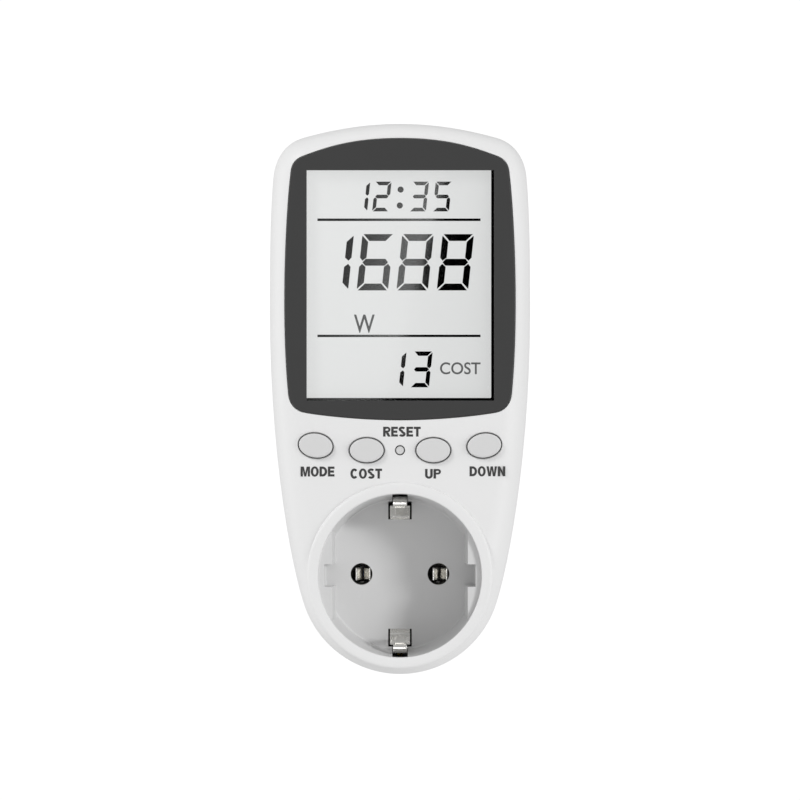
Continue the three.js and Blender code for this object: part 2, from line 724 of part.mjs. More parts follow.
// A sprung earth contact: it rises through its slot, bows in towards the axis and turns out at its tip.
function earthContact(side) {
  const shape = strip([
    [strapBack + 0.5, side * (contactFoot - 2)],
    [strapBack + 0.5, side * contactFoot],
    [recessFloor, side * (contactFoot - 0.3)],
    [recessFloor - 6, side * (contactFoot - 2)],
    [recessFloor - 8.5, side * (contactFoot - 2.1)],
    [recessFloor - 12.5, side * (contactFoot + 0.4)],
    [recessFloor - 15.2, side * (contactFoot + 2.2)],
  ], stripThickness);
  return profile(shape, earthStripWidth);
}

function contactRetainer() {
  const front = holderEnd + fit;
  return cut(
    rod(retainerRadius, front, retainerBack, 0, 0, 32),
    ...[-pinX, pinX].flatMap((x) => [
      rod(sleeveRadius + fit, front - 1, sleeveEnd + fit, x),
      rod(wireRadius + 0.65, front, retainerBack + 1, x, 0, 12),
    ]),
  );
}

function addSocket() {
  add("socket_cup", socketCup(), whitePlastic);
  add("live_contact", socketContact(pinX), nickel);
  add("neutral_contact", socketContact(-pinX), nickel);
  add("upper_earth_contact", earthContact(1), nickel);
  add("lower_earth_contact", earthContact(-1), nickel);
  const half = earthStripWidth / 2;
  const reach = contactFoot - 0.65;
  add("earth_strap", block(-half, half, strapFront, strapBack, -reach, reach), nickel);
  add("contact_retainer", contactRetainer(), blackPlastic);
}

// ---- Display ----

function addDisplay() {
  const bezelFront = face + bezelSunk;
  add("display_bezel", cut(
    plate(new THREE.Shape(outline(bezelOutline)), bezelFront, bezelFront + bezelThickness),
    block(-windowHalf, windowHalf, face - 1, face + 3, windowBottom, windowTop),
  ), bezelPlastic);
  const lensHalf = windowHalf + lensMargin;
  add("display_lens", block(-lensHalf, lensHalf, lensFront, lensBack,
    windowBottom - lensMargin, windowTop + lensMargin), clearPlastic);
  const seat = 0.05;
  add("lcd_holder", cut(
    block(-holderHalf, holderHalf, holderFront, boardFront - contactGap, holderBottom, holderTop),
    block(-panelHalf - seat, panelHalf + seat, panelFront - seat, boardFront + 1,
      panelBottom - seat, panelTop + seat),
    block(-windowHalf - 0.4, windowHalf - holderRightEdge, holderFront - 1, panelFront,
      windowBottom + holderBottomEdge, windowTop + 0.4),
  ), blackPlastic);
  add("lcd_panel", block(-panelHalf, panelHalf, panelFront, panelBack, panelBottom, panelTop), displayGlass);
  const zebraHalf = panelHalf - 3;
  const zebra = (low) => block(-zebraHalf, zebraHalf, panelBack + 0.05, boardFront - 0.05, low, low + 2.2);
  add("upper_zebra_strip", zebra(panelTop - 2.8), siliconeRubber);
  add("lower_zebra_strip", zebra(panelBottom + 0.6), siliconeRubber);
}

function displayBoard() {
  const room = wall + 0.8;
  const within = loft(casing, [[boardFront - 1, room], [boardBack + 1, room]]);
  const front = boardFront - 1;
  const back = boardBack + 1;
  return cut(
    block(-boardHalf, boardHalf, boardFront, boardBack, boardLow, holderTop).intersect(within),
    rod(ringRadius + 0.8, front, back, 0, 0, 40),
    ...caseScrewPlaces.map(([x, z]) => rod(bossRadius + 0.5, front, back, x, z, 14)),
    ...boardScrewPlaces.map(([x, z]) => rod(boardScrewRadius + 0.15, front, back, x, z, 12)),
  );
}

// A rod that lies along X.
function lyingRod(radius, length, x, y, z, segments = 20) {
  const geometry = new THREE.CylinderGeometry(radius, radius, length, segments);
  return solid(geometry.rotateZ(Math.PI / 2).translate(x, y, z));
}

function addDisplayBoard() {
  add("display_board", displayBoard(), boardLaminate);
  const seat = boardBack + 0.02;
  const driverZ = windowBottom + 18;
  add("display_driver", block(-6, 6, seat, seat + 1.4, driverZ - 6, driverZ + 6), chipPlastic);
  add("clock_crystal", plate(rectangle(11, 19, driverZ - 3, driverZ, 1.4), seat, seat + 2.6, 3), steel);
  add("backup_battery", lyingRod(5.6, 17, -9, seat + 5.65, windowTop - 9), greenWrap);
  const ribbon = strip([
    [seat + 0.3, boardLow + 6],
    [seat + 1.2, boardLow + 5.2],
    [(seat + powerBoardFront) / 2, boardLow + 4.4],
    [powerBoardFront - 1.2, boardLow + 5.2],
    [powerBoardFront - 0.3, boardLow + 6],
  ], 0.5);
  add("ribbon_cable", profile(ribbon, 14), siliconeRubber);
}

// ---- Power board ----

function addPowerBoard() {
  const front = powerBoardFront;
  const seat = front - 0.02;
  const middle = (powerBoardLow + powerBoardTop) / 2;
  add("power_board", block(-powerBoardHalf, powerBoardHalf, front, front + boardThickness,
    powerBoardLow, powerBoardTop), boardLaminate);
  add("dropper_capacitor", block(-19, -1, seat - 12, seat, middle - 15, middle - 7), yellowPlastic);
  add("smoothing_capacitor", turned([
    [0, seat - 12], [4.4, seat - 12], [5, seat - 11.4], [5, seat - 1.6],
    [4.7, seat - 1.2], [5, seat - 0.8], [5, seat], [0, seat],
  ], 13, middle - 10), blackSleeve);
  add("surge_varistor", lyingRod(5, 4, -15, seat - 5.1, middle + 3), blueCoating);
  add("input_fuse", lyingRod(1.8, 9, -3, seat - 1.85, middle - 1, 14), greenWrap);
  add("metering_chip", block(-4, 6, seat - 1.6, seat, middle + 8, middle + 14), chipPlastic);
  add("current_shunt", cut(
    block(11, 22, seat - 6, seat, middle + 4, middle + 7),
    block(12.2, 20.8, seat - 4.8, seat + 1, middle, middle + 10),
  ), manganin);
}

function aroundAxis(reach, degrees, y) {
  const angle = THREE.MathUtils.degToRad(degrees);
  return [reach * Math.cos(angle), y, reach * Math.sin(angle)];
}

// A point beside the retainer's edge, where a wire can pass it.
function pastRetainer(degrees, y) {
  return aroundAxis(retainerRadius + 2.2, degrees, y);
}

// Insulated wires from the pins to the power board and on to the socket's contacts.
function addWires() {
  const pinEnd = -plugEndThickness - pinCollarLength - pinTail - 0.6;
  const contactEnd = sleeveEnd + 0.5;
  const behind = retainerBack + 1.2;
  const low = powerBoardLow;
  const board = powerBoardFront - 0.55;
  add("live_feed_wire", wire([
    [pinX, pinEnd, 0], [pinX, pinEnd - 3, 0.8], aroundAxis(plugHollowRadius - 2.4, 35, drumInside - 0.6),
    pastRetainer(47, drumInside - 3.3), pastRetainer(50, slabInside), [14.5, slabInside - 3.8, low - 8.5],
    [16.5, board - 2.8, low - 2.8], [17, board - 2.7, low + 2.2], [17, board - 1.1, low + 5.2],
    [17, board, low + 5.6],
  ], wireRadius), brownInsulation);
  add("live_return_wire", wire([
    [pinX, contactEnd, 0], [pinX, behind, 0], [8, behind + 1.6, 6], [7, behind + 1, 13],
    pastRetainer(70, retainerBack), pastRetainer(70, slabInside - 0.8), [8.5, slabInside - 4, low - 7],
    [9.5, board - 2.4, low - 2.8], [10, board - 2.8, low + 2], [10, board - 1.2, low + 5],
    [10, board, low + 5.4],
  ], wireRadius), brownInsulation);
  add("neutral_wire", wire([
    [-pinX, contactEnd, 0], [-pinX, behind, 0], [-pinX - 1.5, drumInside + 0.7, -3],
    [-pinX, pinEnd - 2.5, 0], [-pinX, pinEnd, 0],
  ], wireRadius), blueInsulation);
  const besideTail = -pinX + 1.5 + thinWireRadius + fit;
  add("neutral_sense_wire", wire([
    [besideTail, pinEnd + 1.6, 0], [besideTail, pinEnd - 1.7, 0.5], [-8, drumInside, 6],
    [-7, drumInside - 3.6, 13], pastRetainer(110, retainerBack), pastRetainer(110, slabInside - 0.8),
    [-8.5, slabInside - 4, low - 7], [-9.5, board - 2.4, low - 2.8], [-10, board - 2.6, low + 2],
    [-10, board - 1.2, low + 5], [-10, board, low + 5.4],
  ], thinWireRadius), blueInsulation);
  add("earth_wire", wire([
    [0, strapBack + 0.3, -8], [0, strapBack + 3, -9], [0, holderEnd - 2, -15],
    pastRetainer(-90, holderEnd), pastRetainer(-90, retainerBack + 0.5),
    [0, drumInside - 3, -14], [0, drumInside + 0.5, -9.5], [0, bracketFront - 0.45, -8],
  ], 0.8), greenInsulation);
}

// ---- Buttons ----

// A button's cap: its crowned top, the flange that keeps it in the casing, and its foot on the switch.
function buttonCap({ x, z, tilt }) {
  const radius = buttonWidth / 2;
  const top = face - buttonProud;
  const flange = radius + buttonFlange;
  const flangeBack = capBack + buttonFlange;
  const profilePoints = [
    [0, top], [radius - 0.9, top], [radius - 0.25, top + 0.3], [radius, top + 1],
    [radius, capBack], [flange, capBack], [flange, flangeBack],
    [1.8, flangeBack], [1.8, capFoot], [0, capFoot],
  ].map(([r, y]) => new THREE.Vector2(r, y));
  const cap = new THREE.LatheGeometry(profilePoints, 24).scale(1, 1, buttonHeight / buttonWidth);
  return solid(cap.rotateY(THREE.MathUtils.degToRad(-tilt)).translate(x, 0, z));
}

function resetCap() {
  const top = face + resetSunk;
  const flange = resetRadius + 1;
  const flangeBack = capBack + buttonFlange;
  return turned([
    [0, top], [resetRadius - 0.2, top], [resetRadius, top + 0.2], [resetRadius, capBack], [flange, capBack],
    [flange, flangeBack], [resetRadius, flangeBack], [resetRadius, capFoot], [0, capFoot],
  ], resetButton.x, resetButton.z, 16);
}

// A tactile switch: its housing has a bore in which the plunger moves.
function addSwitch({ name, x, z }) {
  const half = switchSize / 2;
  const plungerBack = switchFront + 1.2;
  add(`${name}_switch`, cut(
    block(x - half, x + half, switchFront, boardFront - 0.02, z - half, z + half),
    rod(plungerRadius + fit, switchFront - 1, plungerBack + buttonTravel + 0.5, x, z, 16),
  ), chipPlastic);
  add(`${name}_plunger`, rod(plungerRadius, switchFront - plungerProud, plungerBack, x, z, 16), blackPlastic);
}

function addButtons() {
  for (const button of ovalButtons) add(`${button.name}_button`, buttonCap(button), buttonPlastic);
  add("reset_button", resetCap(), buttonPlastic);
  for (const button of [...ovalButtons, resetButton]) addSwitch(button);
}

// ---- Screws ----

// A pan-head screw with its head towards the back.
function screw([x, z], seat, length, radius, headRadius, headHeight) {
  const tip = seat - length;
  return turned([
    [0, tip], [radius, tip + radius], [radius, seat], [headRadius, seat],
    [headRadius, seat + headHeight * 0.5], [headRadius * 0.6, seat + headHeight], [0, seat + headHeight],
  ], x, z, 12);
}

function addScrews() {
  caseScrewPlaces.forEach((place, i) => {
    const made = screw(place, screwSeat, caseScrewLength, screwRadius, screwHeadRadius, screwHeadHeight);
    add(`case_screw_${i + 1}`, made, steel);
  });
  boardScrewPlaces.forEach((place, i) => {
    const made = screw(place, boardBack + 0.05, 5, boardScrewRadius, boardScrewHeadRadius, 1.15);
    add(`board_screw_${i + 1}`, made, steel);
  });
}

add("front_shell", frontShell(), whitePlastic);
add("rear_shell", rearShell(), whitePlastic);
addDisplay();
addDisplayBoard();
addPowerBoard();
addButtons();
addSocket();
addPlug();
addWires();
addScrews();

export default meter;
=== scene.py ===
import json
import math

import bmesh
import bpy
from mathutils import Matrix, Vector


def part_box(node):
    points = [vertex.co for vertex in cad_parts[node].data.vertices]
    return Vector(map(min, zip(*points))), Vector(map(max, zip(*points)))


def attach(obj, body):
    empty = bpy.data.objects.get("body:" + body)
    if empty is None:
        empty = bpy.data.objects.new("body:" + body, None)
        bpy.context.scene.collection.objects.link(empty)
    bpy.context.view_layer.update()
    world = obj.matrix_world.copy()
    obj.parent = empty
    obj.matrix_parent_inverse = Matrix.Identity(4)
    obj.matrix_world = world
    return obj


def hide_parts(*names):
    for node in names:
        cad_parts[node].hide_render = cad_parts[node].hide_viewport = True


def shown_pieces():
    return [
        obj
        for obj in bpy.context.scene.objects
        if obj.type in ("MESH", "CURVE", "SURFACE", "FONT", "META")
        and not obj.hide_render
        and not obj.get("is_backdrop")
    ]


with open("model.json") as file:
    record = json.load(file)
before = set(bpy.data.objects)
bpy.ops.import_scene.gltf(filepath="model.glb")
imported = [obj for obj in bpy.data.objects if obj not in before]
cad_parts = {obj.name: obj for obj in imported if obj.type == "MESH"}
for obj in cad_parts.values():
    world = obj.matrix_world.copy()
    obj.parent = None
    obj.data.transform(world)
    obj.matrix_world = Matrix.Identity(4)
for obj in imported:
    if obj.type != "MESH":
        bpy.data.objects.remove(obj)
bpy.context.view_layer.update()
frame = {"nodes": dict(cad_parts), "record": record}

mm = 0.001
tau = 2 * math.pi
slotOf = {part["node"]: part["material_slot"] for part in frame["record"]["subparts"]}


def nodeBox(node):
    low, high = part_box(node)
    return low / mm, high / mm


def middle(node):
    low, high = nodeBox(node)
    return (low + high) / 2


shellLow, shellHigh = nodeBox("front_shell")
rearLow = nodeBox("rear_shell")[0]
cupLow, cupHigh = nodeBox("socket_cup")
bezelLow, bezelHigh = nodeBox("display_bezel")
halfWidth = shellHigh.x
bodyTop = shellHigh.z
faceY = shellLow.y
ringY = cupLow.y
ringRadius = cupHigh.x
pinX = middle("live_pin").x

casing = {
    "wall": 2.2,
    "frontRounding": 6.5,
    "backRounding": 4.0,
    "baseCentre": 0.5,
    "baseMargin": 1.95,  # from the ring to the outline below it
    "baseArcEnd": -20,  # degrees
    "back": -25.5,
    "frontPost": 2.4,
    "rearPost": 3.3,
    "screwHole": 1.2,
}
faceInside = faceY + casing["wall"]


def report(stage):
    print("stage:", stage)


def deselectAll():
    if bpy.context.mode != "OBJECT":
        bpy.ops.object.mode_set(mode="OBJECT")
    bpy.ops.object.select_all(action="DESELECT")


def activate(piece):
    deselectAll()
    piece.select_set(True)
    bpy.context.view_layer.objects.active = piece


def named(name):
    piece = bpy.context.object
    piece.name = name
    piece.data.name = name
    return piece


def settle(piece):
    activate(piece)
    bpy.ops.object.transform_apply(location=True, rotation=True, scale=True)
    return piece


# Opens a piece in edit mode with the vertices, edges or faces selected that pass a test.
def choose(piece, kind, test):
    activate(piece)
    bpy.ops.object.mode_set(mode="EDIT")
    bpy.ops.mesh.select_mode(type=kind)
    bpy.ops.mesh.select_all(action="DESELECT")
    mesh = bmesh.from_edit_mesh(piece.data)
    items = {"VERT": mesh.verts, "EDGE": mesh.edges, "FACE": mesh.faces}[kind]
    for item in items:
        if test(item):
            item.select_set(True)
    if kind == "VERT":
        mesh.select_flush(True)
    bmesh.update_edit_mesh(piece.data)


def outward(piece):
    choose(piece, "FACE", lambda face: True)
    bpy.ops.mesh.remove_doubles(threshold=0.002 * mm)
    bpy.ops.mesh.normals_make_consistent(inside=False)
    bpy.ops.object.mode_set(mode="OBJECT")
    return piece


def modify(piece, kind, **settings):
    activate(piece)
    bpy.ops.object.modifier_add(type=kind)
    modifier = piece.modifiers[-1]
    for key, value in settings.items():
        setattr(modifier, key, value)
    bpy.ops.object.modifier_apply(modifier=modifier.name)
    return piece


def combine(piece, other, operation):
    modify(piece, "BOOLEAN", object=other, operation=operation, solver="EXACT", use_self=False)
    bpy.data.objects.remove(other)
    return piece


def cutAway(piece, *cutters):
    for cutter in cutters:
        combine(piece, cutter, "DIFFERENCE")
    return piece


def merge(name, *parts):
    deselectAll()
    for part in parts:
        part.select_set(True)
    bpy.context.view_layer.objects.active = parts[0]
    if len(parts) > 1:
        bpy.ops.object.join()
    return named(name)


def softenEdges(piece, width, angle=32, segments=2):
    return modify(piece, "BEVEL", width=width * mm, segments=segments, limit_method="ANGLE",
                  angle_limit=math.radians(angle), miter_outer="MITER_ARC", harden_normals=False)


def shade(piece, angle=34):
    activate(piece)
    bpy.ops.object.shade_smooth_by_angle(angle=math.radians(angle))
    return modify(piece, "WEIGHTED_NORMAL", keep_sharp=True, weight=60)


def copyOf(piece, name):
    twin = piece.copy()
    twin.data = piece.data.copy()
    twin.name = name
    twin.data.name = name
    bpy.context.scene.collection.objects.link(twin)
    return twin


def moved(piece, x=0, y=0, z=0):
    piece.location = (x * mm, y * mm, z * mm)
    return settle(piece)


# Turns a piece about the Y axis, anticlockwise seen from the front.
def tilted(piece, degrees):
    piece.rotation_euler[1] = -math.radians(degrees)
    return settle(piece)


def mirroredCopy(piece, name, axis):
    twin = copyOf(piece, name)
    twin.scale["XYZ".index(axis)] = -1
    return outward(settle(twin))


def block(name, x, y, z, bevel=0):
    bpy.ops.mesh.primitive_cube_add(size=1)
    piece = named(name)
    piece.scale = [(high - low) * mm for low, high in (x, y, z)]
    piece.location = [(high + low) / 2 * mm for low, high in (x, y, z)]
    settle(piece)
    return softenEdges(piece, bevel) if bevel else piece


# A block that fills a node's box.
def nodeBlock(name, node, bevel):
    return block(name, *zip(*nodeBox(node)), bevel)


# A width at one side of the middle, as a pair from low to high.
def beside(side, near, far):
    return sorted((side * near, side * far))


# Rounds the corners of a profile of (radius, y) points; a third number is a corner's radius.
def rounded(profile, steps=4):
    points = []
    for i, corner in enumerate(profile):
        here = Vector(corner[:2])
        size = corner[2] if len(corner) > 2 else 0
        if not size or i in (0, len(profile) - 1):
            points.append(here)
            continue
        before = Vector(profile[i - 1][:2])
        after = Vector(profile[i + 1][:2])
        start = here + (before - here).normalized() * size
        end = here + (after - here).normalized() * size
        for k in range(steps + 1):
            t = k / steps
            points.append(start * (1 - t) ** 2 + here * 2 * t * (1 - t) + end * t ** 2)
    return points


# A form turned about the Y axis: a circle, extruded and resized along its profile of (radius, y) points.
# The value taller is added to the radius along Z. A closed profile returns to its first point and has no ends.
def turned(name, profile, vertices=96, x=0, z=0, taller=0, steps=4, closed=False):
    rings = rounded(profile, steps)
    bpy.ops.mesh.primitive_circle_add(vertices=vertices, radius=1, rotation=(math.pi / 2, 0, 0),
                                      fill_type="NOTHING" if closed else "NGON")
    piece = settle(named(name))
    width, y = rings[0]
    piece.scale = (width * mm, 1, (width + taller) * mm)
    piece.location = (0, y * mm, 0)
    settle(piece)
    choose(piece, "VERT", lambda vertex: True)
    for ring in rings[1:]:
        push = {"value": (0, (ring.y - y) * mm, 0)}
        if closed:
            bpy.ops.mesh.extrude_edges_move(TRANSFORM_OT_translate=push)
        else:
            bpy.ops.mesh.extrude_region_move(TRANSFORM_OT_translate=push)
        size = (ring.x / width, 1, (ring.x + taller) / (width + taller))
        bpy.ops.transform.resize(value=size, center_override=(0, 0, 0))
        width, y = ring
    bpy.ops.object.mode_set(mode="OBJECT")
    return moved(outward(piece), x, 0, z)


def rod(name, radius, front, back, x=0, z=0, vertices=64, flare=0):
    profile = [(radius, front), (radius, back)]
    if flare:
        profile = [(radius + flare, front), (radius + flare, front + 1), (radius, front + 1 + flare),
                   (radius, back)]
    return turned(name, profile, vertices, x, z)


# Turns a curve's data into a mesh piece.
def meshOf(name, curve):
    piece = bpy.data.objects.new(name, curve)
    bpy.context.scene.collection.objects.link(piece)
    activate(piece)
    bpy.ops.object.convert(target="MESH")
    return named(name)


# A closed outline from the right half's curves: a first point, then (handle, handle, end) rows.
def outlineCurve(name, start, curves, y, resolution=14):
    knots = [start] + [curve[2] for curve in curves]
    leaving = [curve[0] for curve in curves] + [None]
    arriving = [None] + [curve[1] for curve in curves]
    flip = lambda point: (-point[0], point[1])
    last = len(knots) - 1
    leaving[last] = flip(arriving[last])
    arriving[0] = flip(leaving[0])
    rows = list(zip(arriving, knots, leaving))
    rows += [(flip(leaving[i]), flip(knots[i]), flip(arriving[i])) for i in range(last - 1, 0, -1)]
    curve = bpy.data.curves.new(name, "CURVE")
    curve.dimensions = "3D"
    curve.resolution_u = resolution
    spline = curve.splines.new("BEZIER")
    spline.bezier_points.add(len(rows) - 1)
    spline.use_cyclic_u = True
    place = lambda point: (point[0] * mm, y * mm, point[1] * mm)
    for point, (before, here, after) in zip(spline.bezier_points, rows):
        point.handle_left_type = point.handle_right_type = "FREE"
        point.co = place(here)
        point.handle_left = place(before)
        point.handle_right = place(after)
    return meshOf(name, curve)


# A plate with a curved outline: filled, drawn in by an inset, extruded, its far rim rounded.
# A value for grow widens the display bezel's outline by that much on every side.
def plate(name, outline, near, far, inset=0, rounding=0, segments=10, grow=0):
    piece = outlineCurve(name, *outline, near)
    choose(piece, "EDGE", lambda edge: True)
    bpy.ops.mesh.remove_doubles(threshold=0.005 * mm)
    bpy.ops.mesh.edge_face_add()
    if inset:
        bpy.ops.mesh.select_mode(type="FACE")
        bpy.ops.mesh.inset(thickness=inset * mm, use_even_offset=True)
        bpy.ops.mesh.select_all(action="INVERT")
        bpy.ops.mesh.delete(type="FACE")
        bpy.ops.mesh.select_all(action="SELECT")
    bpy.ops.mesh.extrude_region_move(TRANSFORM_OT_translate={"value": (0, (far - near) * mm, 0)})
    if grow:
        low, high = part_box("display_bezel")
        centre = (low + high) / 2
        spread = [1 + grow * mm / ((high - low)[axis] / 2) for axis in (0, 2)]
        bpy.ops.mesh.select_all(action="SELECT")
        bpy.ops.transform.resize(value=(spread[0], 1, spread[1]), center_override=tuple(centre))
    outward(piece)
    if rounding:
        rim = far * mm
        choose(piece, "EDGE", lambda edge: all(abs(v.co.y - rim) < 1e-6 for v in edge.verts))
        bpy.ops.mesh.bevel(offset=rounding * mm, segments=segments, profile=0.5, affect="EDGES",
                           offset_type="OFFSET", clamp_overlap=False)
        bpy.ops.object.mode_set(mode="OBJECT")
    return piece


# Flat shapes of (x, z) points, given a small thickness towards the front.
def flatShapes(name, polygons, y, thickness):
    curve = bpy.data.curves.new(name, "CURVE")
    curve.dimensions = "2D"
    curve.fill_mode = "BOTH"
    curve.extrude = thickness / 2 * mm
    for polygon in polygons:
        spline = curve.splines.new("POLY")
        spline.points.add(len(polygon) - 1)
        spline.use_cyclic_u = True
        for point, (x, z) in zip(spline.points, polygon):
            point.co = (x * mm, z * mm, 0, 1)
    piece = meshOf(name, curve)
    piece.rotation_euler = (math.pi / 2, 0, 0)
    piece.location = (0, (y - thickness / 2) * mm, 0)
    return outward(settle(piece))


# Lettering of a given width and height about a middle; weight makes the strokes thicker or thinner.
def lettering(name, words, centre, width, height, y, thickness, weight):
    bpy.ops.object.text_add()
    bpy.context.object.data.body = words
    bpy.context.object.data.extrude = 0.02
    bpy.context.object.data.offset = weight
    bpy.ops.object.convert(target="MESH")
    piece = named(name)
    low, high = Vector(piece.bound_box[0]), Vector(piece.bound_box[6])
    size = high - low
    scale = (width * mm / size.x, height * mm / size.y, thickness * mm / size.z)
    piece.location = [-scale[axis] * (low + high)[axis] / 2 for axis in range(3)]
    piece.scale = scale
    settle(piece)
    piece.rotation_euler = (math.pi / 2, 0, 0)
    piece.location = (centre[0] * mm, (y - thickness / 2) * mm, centre[1] * mm)
    return outward(settle(piece))


# A bent strip: a line of (y, z) points with rounded corners, drawn out to a width, then given its thickness.
def bentStrip(name, points, width, thickness, bend=0.8, slices=8):
    curve = bpy.data.curves.new(name, "CURVE")
    curve.dimensions = "3D"
    spline = curve.splines.new("POLY")
    spline.points.add(len(points) - 1)
    for point, (y, z) in zip(spline.points, points):
        point.co = (-width / 2 * mm, y * mm, z * mm, 1)
    piece = meshOf(name, curve)
    choose(piece, "VERT", lambda vertex: len(vertex.link_edges) == 2)
    bpy.ops.mesh.bevel(offset=bend * mm, segments=5, affect="VERTICES")
    bpy.ops.mesh.select_all(action="SELECT")
    for k in range(slices):
        bpy.ops.mesh.extrude_edges_move(TRANSFORM_OT_translate={"value": (width / slices * mm, 0, 0)})
    outward(piece)
    modify(piece, "SOLIDIFY", thickness=thickness * mm, offset=0)
    return softenEdges(piece, 0.09, angle=50)


# A socket of a material's tree whose expressions add Math nodes.
class Wire:
    def __init__(self, finish, socket):
        self.finish = finish
        self.socket = socket

    def maths(self, operation, *values):
        return self.finish.node("ShaderNodeMath", {"operation": operation}, dict(enumerate(values)))

    def __add__(self, other):
        return self.maths("ADD", self, other)

    def __radd__(self, other):
        return self.maths("ADD", other, self)

    def __sub__(self, other):
        return self.maths("SUBTRACT", self, other)

    def __rsub__(self, other):
        return self.maths("SUBTRACT", other, self)

    def __mul__(self, other):
        return self.maths("MULTIPLY", self, other)

    def __rmul__(self, other):
        return self.maths("MULTIPLY", other, self)


# A material with one Principled shader; its fixed values are set on the shader's own sockets.
class Finish:
    def __init__(self, name, **values):
        self.material = bpy.data.materials.new(name)
        self.material.use_nodes = True
        self.tree = self.material.node_tree
        self.shader = self.tree.nodes["Principled BSDF"]
        self.shaderInputs(**values)

    def feed(self, socket, value):
        if isinstance(value, Wire):
            self.tree.links.new(value.socket, socket)
        else:
            socket.default_value = value

    def node(self, kind, settings=None, inputs=None, output=0):
        made = self.tree.nodes.new(kind)
        for key, value in (settings or {}).items():
            if key == "stops":
                ramp = made.color_ramp.elements
                for i, (place, colour) in enumerate(value):
                    element = ramp[i] if i < 2 else ramp.new(place)
                    element.position = place
                    element.color = colour
            else:
                setattr(made, key, value)
        for key, value in (inputs or {}).items():
            self.feed(made.inputs[key], value)
        return Wire(self, made.outputs[output])

    def place(self, scale=(1, 1, 1), turn=(0, 0, 0)):
        coordinates = self.node("ShaderNodeTexCoord", output="Object")
        return self.node("ShaderNodeMapping", {}, {"Vector": coordinates, "Scale": scale, "Rotation": turn})

    def position(self):
        parts = self.node("ShaderNodeSeparateXYZ", {}, {"Vector": self.place()}).socket.node.outputs
        return Wire(self, parts["X"]), Wire(self, parts["Z"])

    def noise(self, scale, detail=3, roughness=0.5, stretch=(1, 1, 1), turn=(0, 0, 0)):
        return self.node("ShaderNodeTexNoise", {}, {
            "Vector": self.place(stretch, turn), "Scale": scale, "Detail": detail, "Roughness": roughness})

    def grains(self, scale):
        return self.node("ShaderNodeTexVoronoi", {"feature": "SMOOTH_F1"}, {
            "Vector": self.place(), "Scale": scale, "Smoothness": 0.6})

    def ramp(self, value, stops):
        return self.node("ShaderNodeValToRGB", {"stops": stops}, {"Fac": value})

    def blend(self, amount, first, second):
        return self.node("ShaderNodeMix", {"data_type": "RGBA"}, {0: amount, 6: first, 7: second}, output=2)

    def bump(self, height, distance, strength=1.0):
        return self.node("ShaderNodeBump", {}, {"Height": height, "Distance": distance * mm, "Strength": strength})

    def shaderInputs(self, **values):
        for key, value in values.items():
            self.feed(self.shader.inputs[key.replace("_", " ")], value)
        return self.material


def grey(level):
    linear = (level / 255) / 12.92 if level < 10.3 else ((level / 255 + 0.055) / 1.055) ** 2.4
    return (linear, linear, linear, 1)


def tint(colour, factor):
    return (colour[0] * factor, colour[1] * factor, colour[2] * factor, 1)


# Moulded plastic: a spark-eroded grain, slight flow marks in its tone, and gloss that varies with wear.
def mouldedPlastic(name, colour, roughness, grain=0.006, grainScale=2600, variation=0.02, coat=0.0):
    finish = Finish(name, IOR=1.49)
    cloudy = finish.noise(45, detail=4)
    fine = finish.noise(grainScale, detail=2)
    pits = finish.grains(grainScale * 0.55)
    handled = finish.noise(160, detail=5, roughness=0.6)
    tone = finish.blend(cloudy, tint(colour, 1 - variation), tint(colour, 1 + variation / 2))
    return finish.shaderInputs(
        Base_Color=tone,
        Roughness=roughness * 0.85 + handled * (roughness * 0.25) + fine * (roughness * 0.05),
        Coat_Weight=coat,
        Normal=finish.bump(fine * 0.55 + pits * 0.45, grain),
    )


# Plated metal: drawn lines along Y, a faint patchy tarnish and small handling pits.
def platedMetal(name, colour, roughness, lines=0.0012, stretch=(1, 0.06, 1), tarnish=0.12):
    finish = Finish(name, IOR=1.6)
    drawn = finish.noise(5200, detail=3, stretch=stretch)
    patches = finish.noise(420, detail=5, roughness=0.65)
    pits = finish.grains(2300)
    tone = finish.blend(patches, tint(colour, 1 - tarnish), tint(colour, 1.0))
    return finish.shaderInputs(
        Base_Color=tone,
        Metallic=1.0,
        Roughness=(roughness - 0.05) + patches * 0.08 + drawn * 0.06,
        Normal=finish.bump(drawn * 0.8 + pits * 0.2, lines),
    )


# Circuit board laminate under its resist: a faint glass weave, tracks and a satin coat.
def boardLaminate(name, colour):
    finish = Finish(name, IOR=1.52)
    weaveX, weaveZ = (finish.node("ShaderNodeTexWave", {"bands_direction": direction},
                                  {"Vector": finish.place(), "Scale": 420, "Distortion": 0.6}) for direction in "XZ")
    copper = finish.node("ShaderNodeTexBrick", {}, {
        "Vector": finish.place(turn=(math.pi / 2, 0, 0)), "Scale": 160, "Mortar Size": 0.06,
        "Color1": (0, 0, 0, 1), "Color2": (0, 0, 0, 1), "Mortar": (1, 1, 1, 1)}, output=1)
    tone = finish.blend(copper * 0.5, tint(colour, 0.85), tint(colour, 1.5))
    return finish.shaderInputs(
        Base_Color=tone,
        Roughness=0.4 + finish.noise(300) * 0.12,
        Coat_Weight=0.35,
        Normal=finish.bump((weaveX + weaveZ) * 0.5 + copper * 0.8, 0.02),
    )


# Display ground: a diffuse reflector with a very fine sparkle, a grey base and a painted glow of its own that evens
# out the shade of its recess.
# Its colour and glow are darker low down on the right: a painted shade gradient.
def displayGround(name, colour):
    finish = Finish(name, IOR=1.5, Emission_Strength=0.64)
    speckle = finish.noise(9000, detail=1)
    across, up = finish.position()
    # painted shade: darker towards the lower right
    paintedShade = across * 12.5 - up * 3.7 + 0.72 + speckle * 0.06
    return finish.shaderInputs(
        Base_Color=finish.blend(paintedShade, tint(colour, 1.0), tint(colour, 0.82)),
        Emission_Color=finish.blend(paintedShade, grey(255), tint(grey(255), 0.8)),
        Roughness=0.42 + speckle * 0.08,
        Normal=finish.bump(speckle, 0.0015),
    )


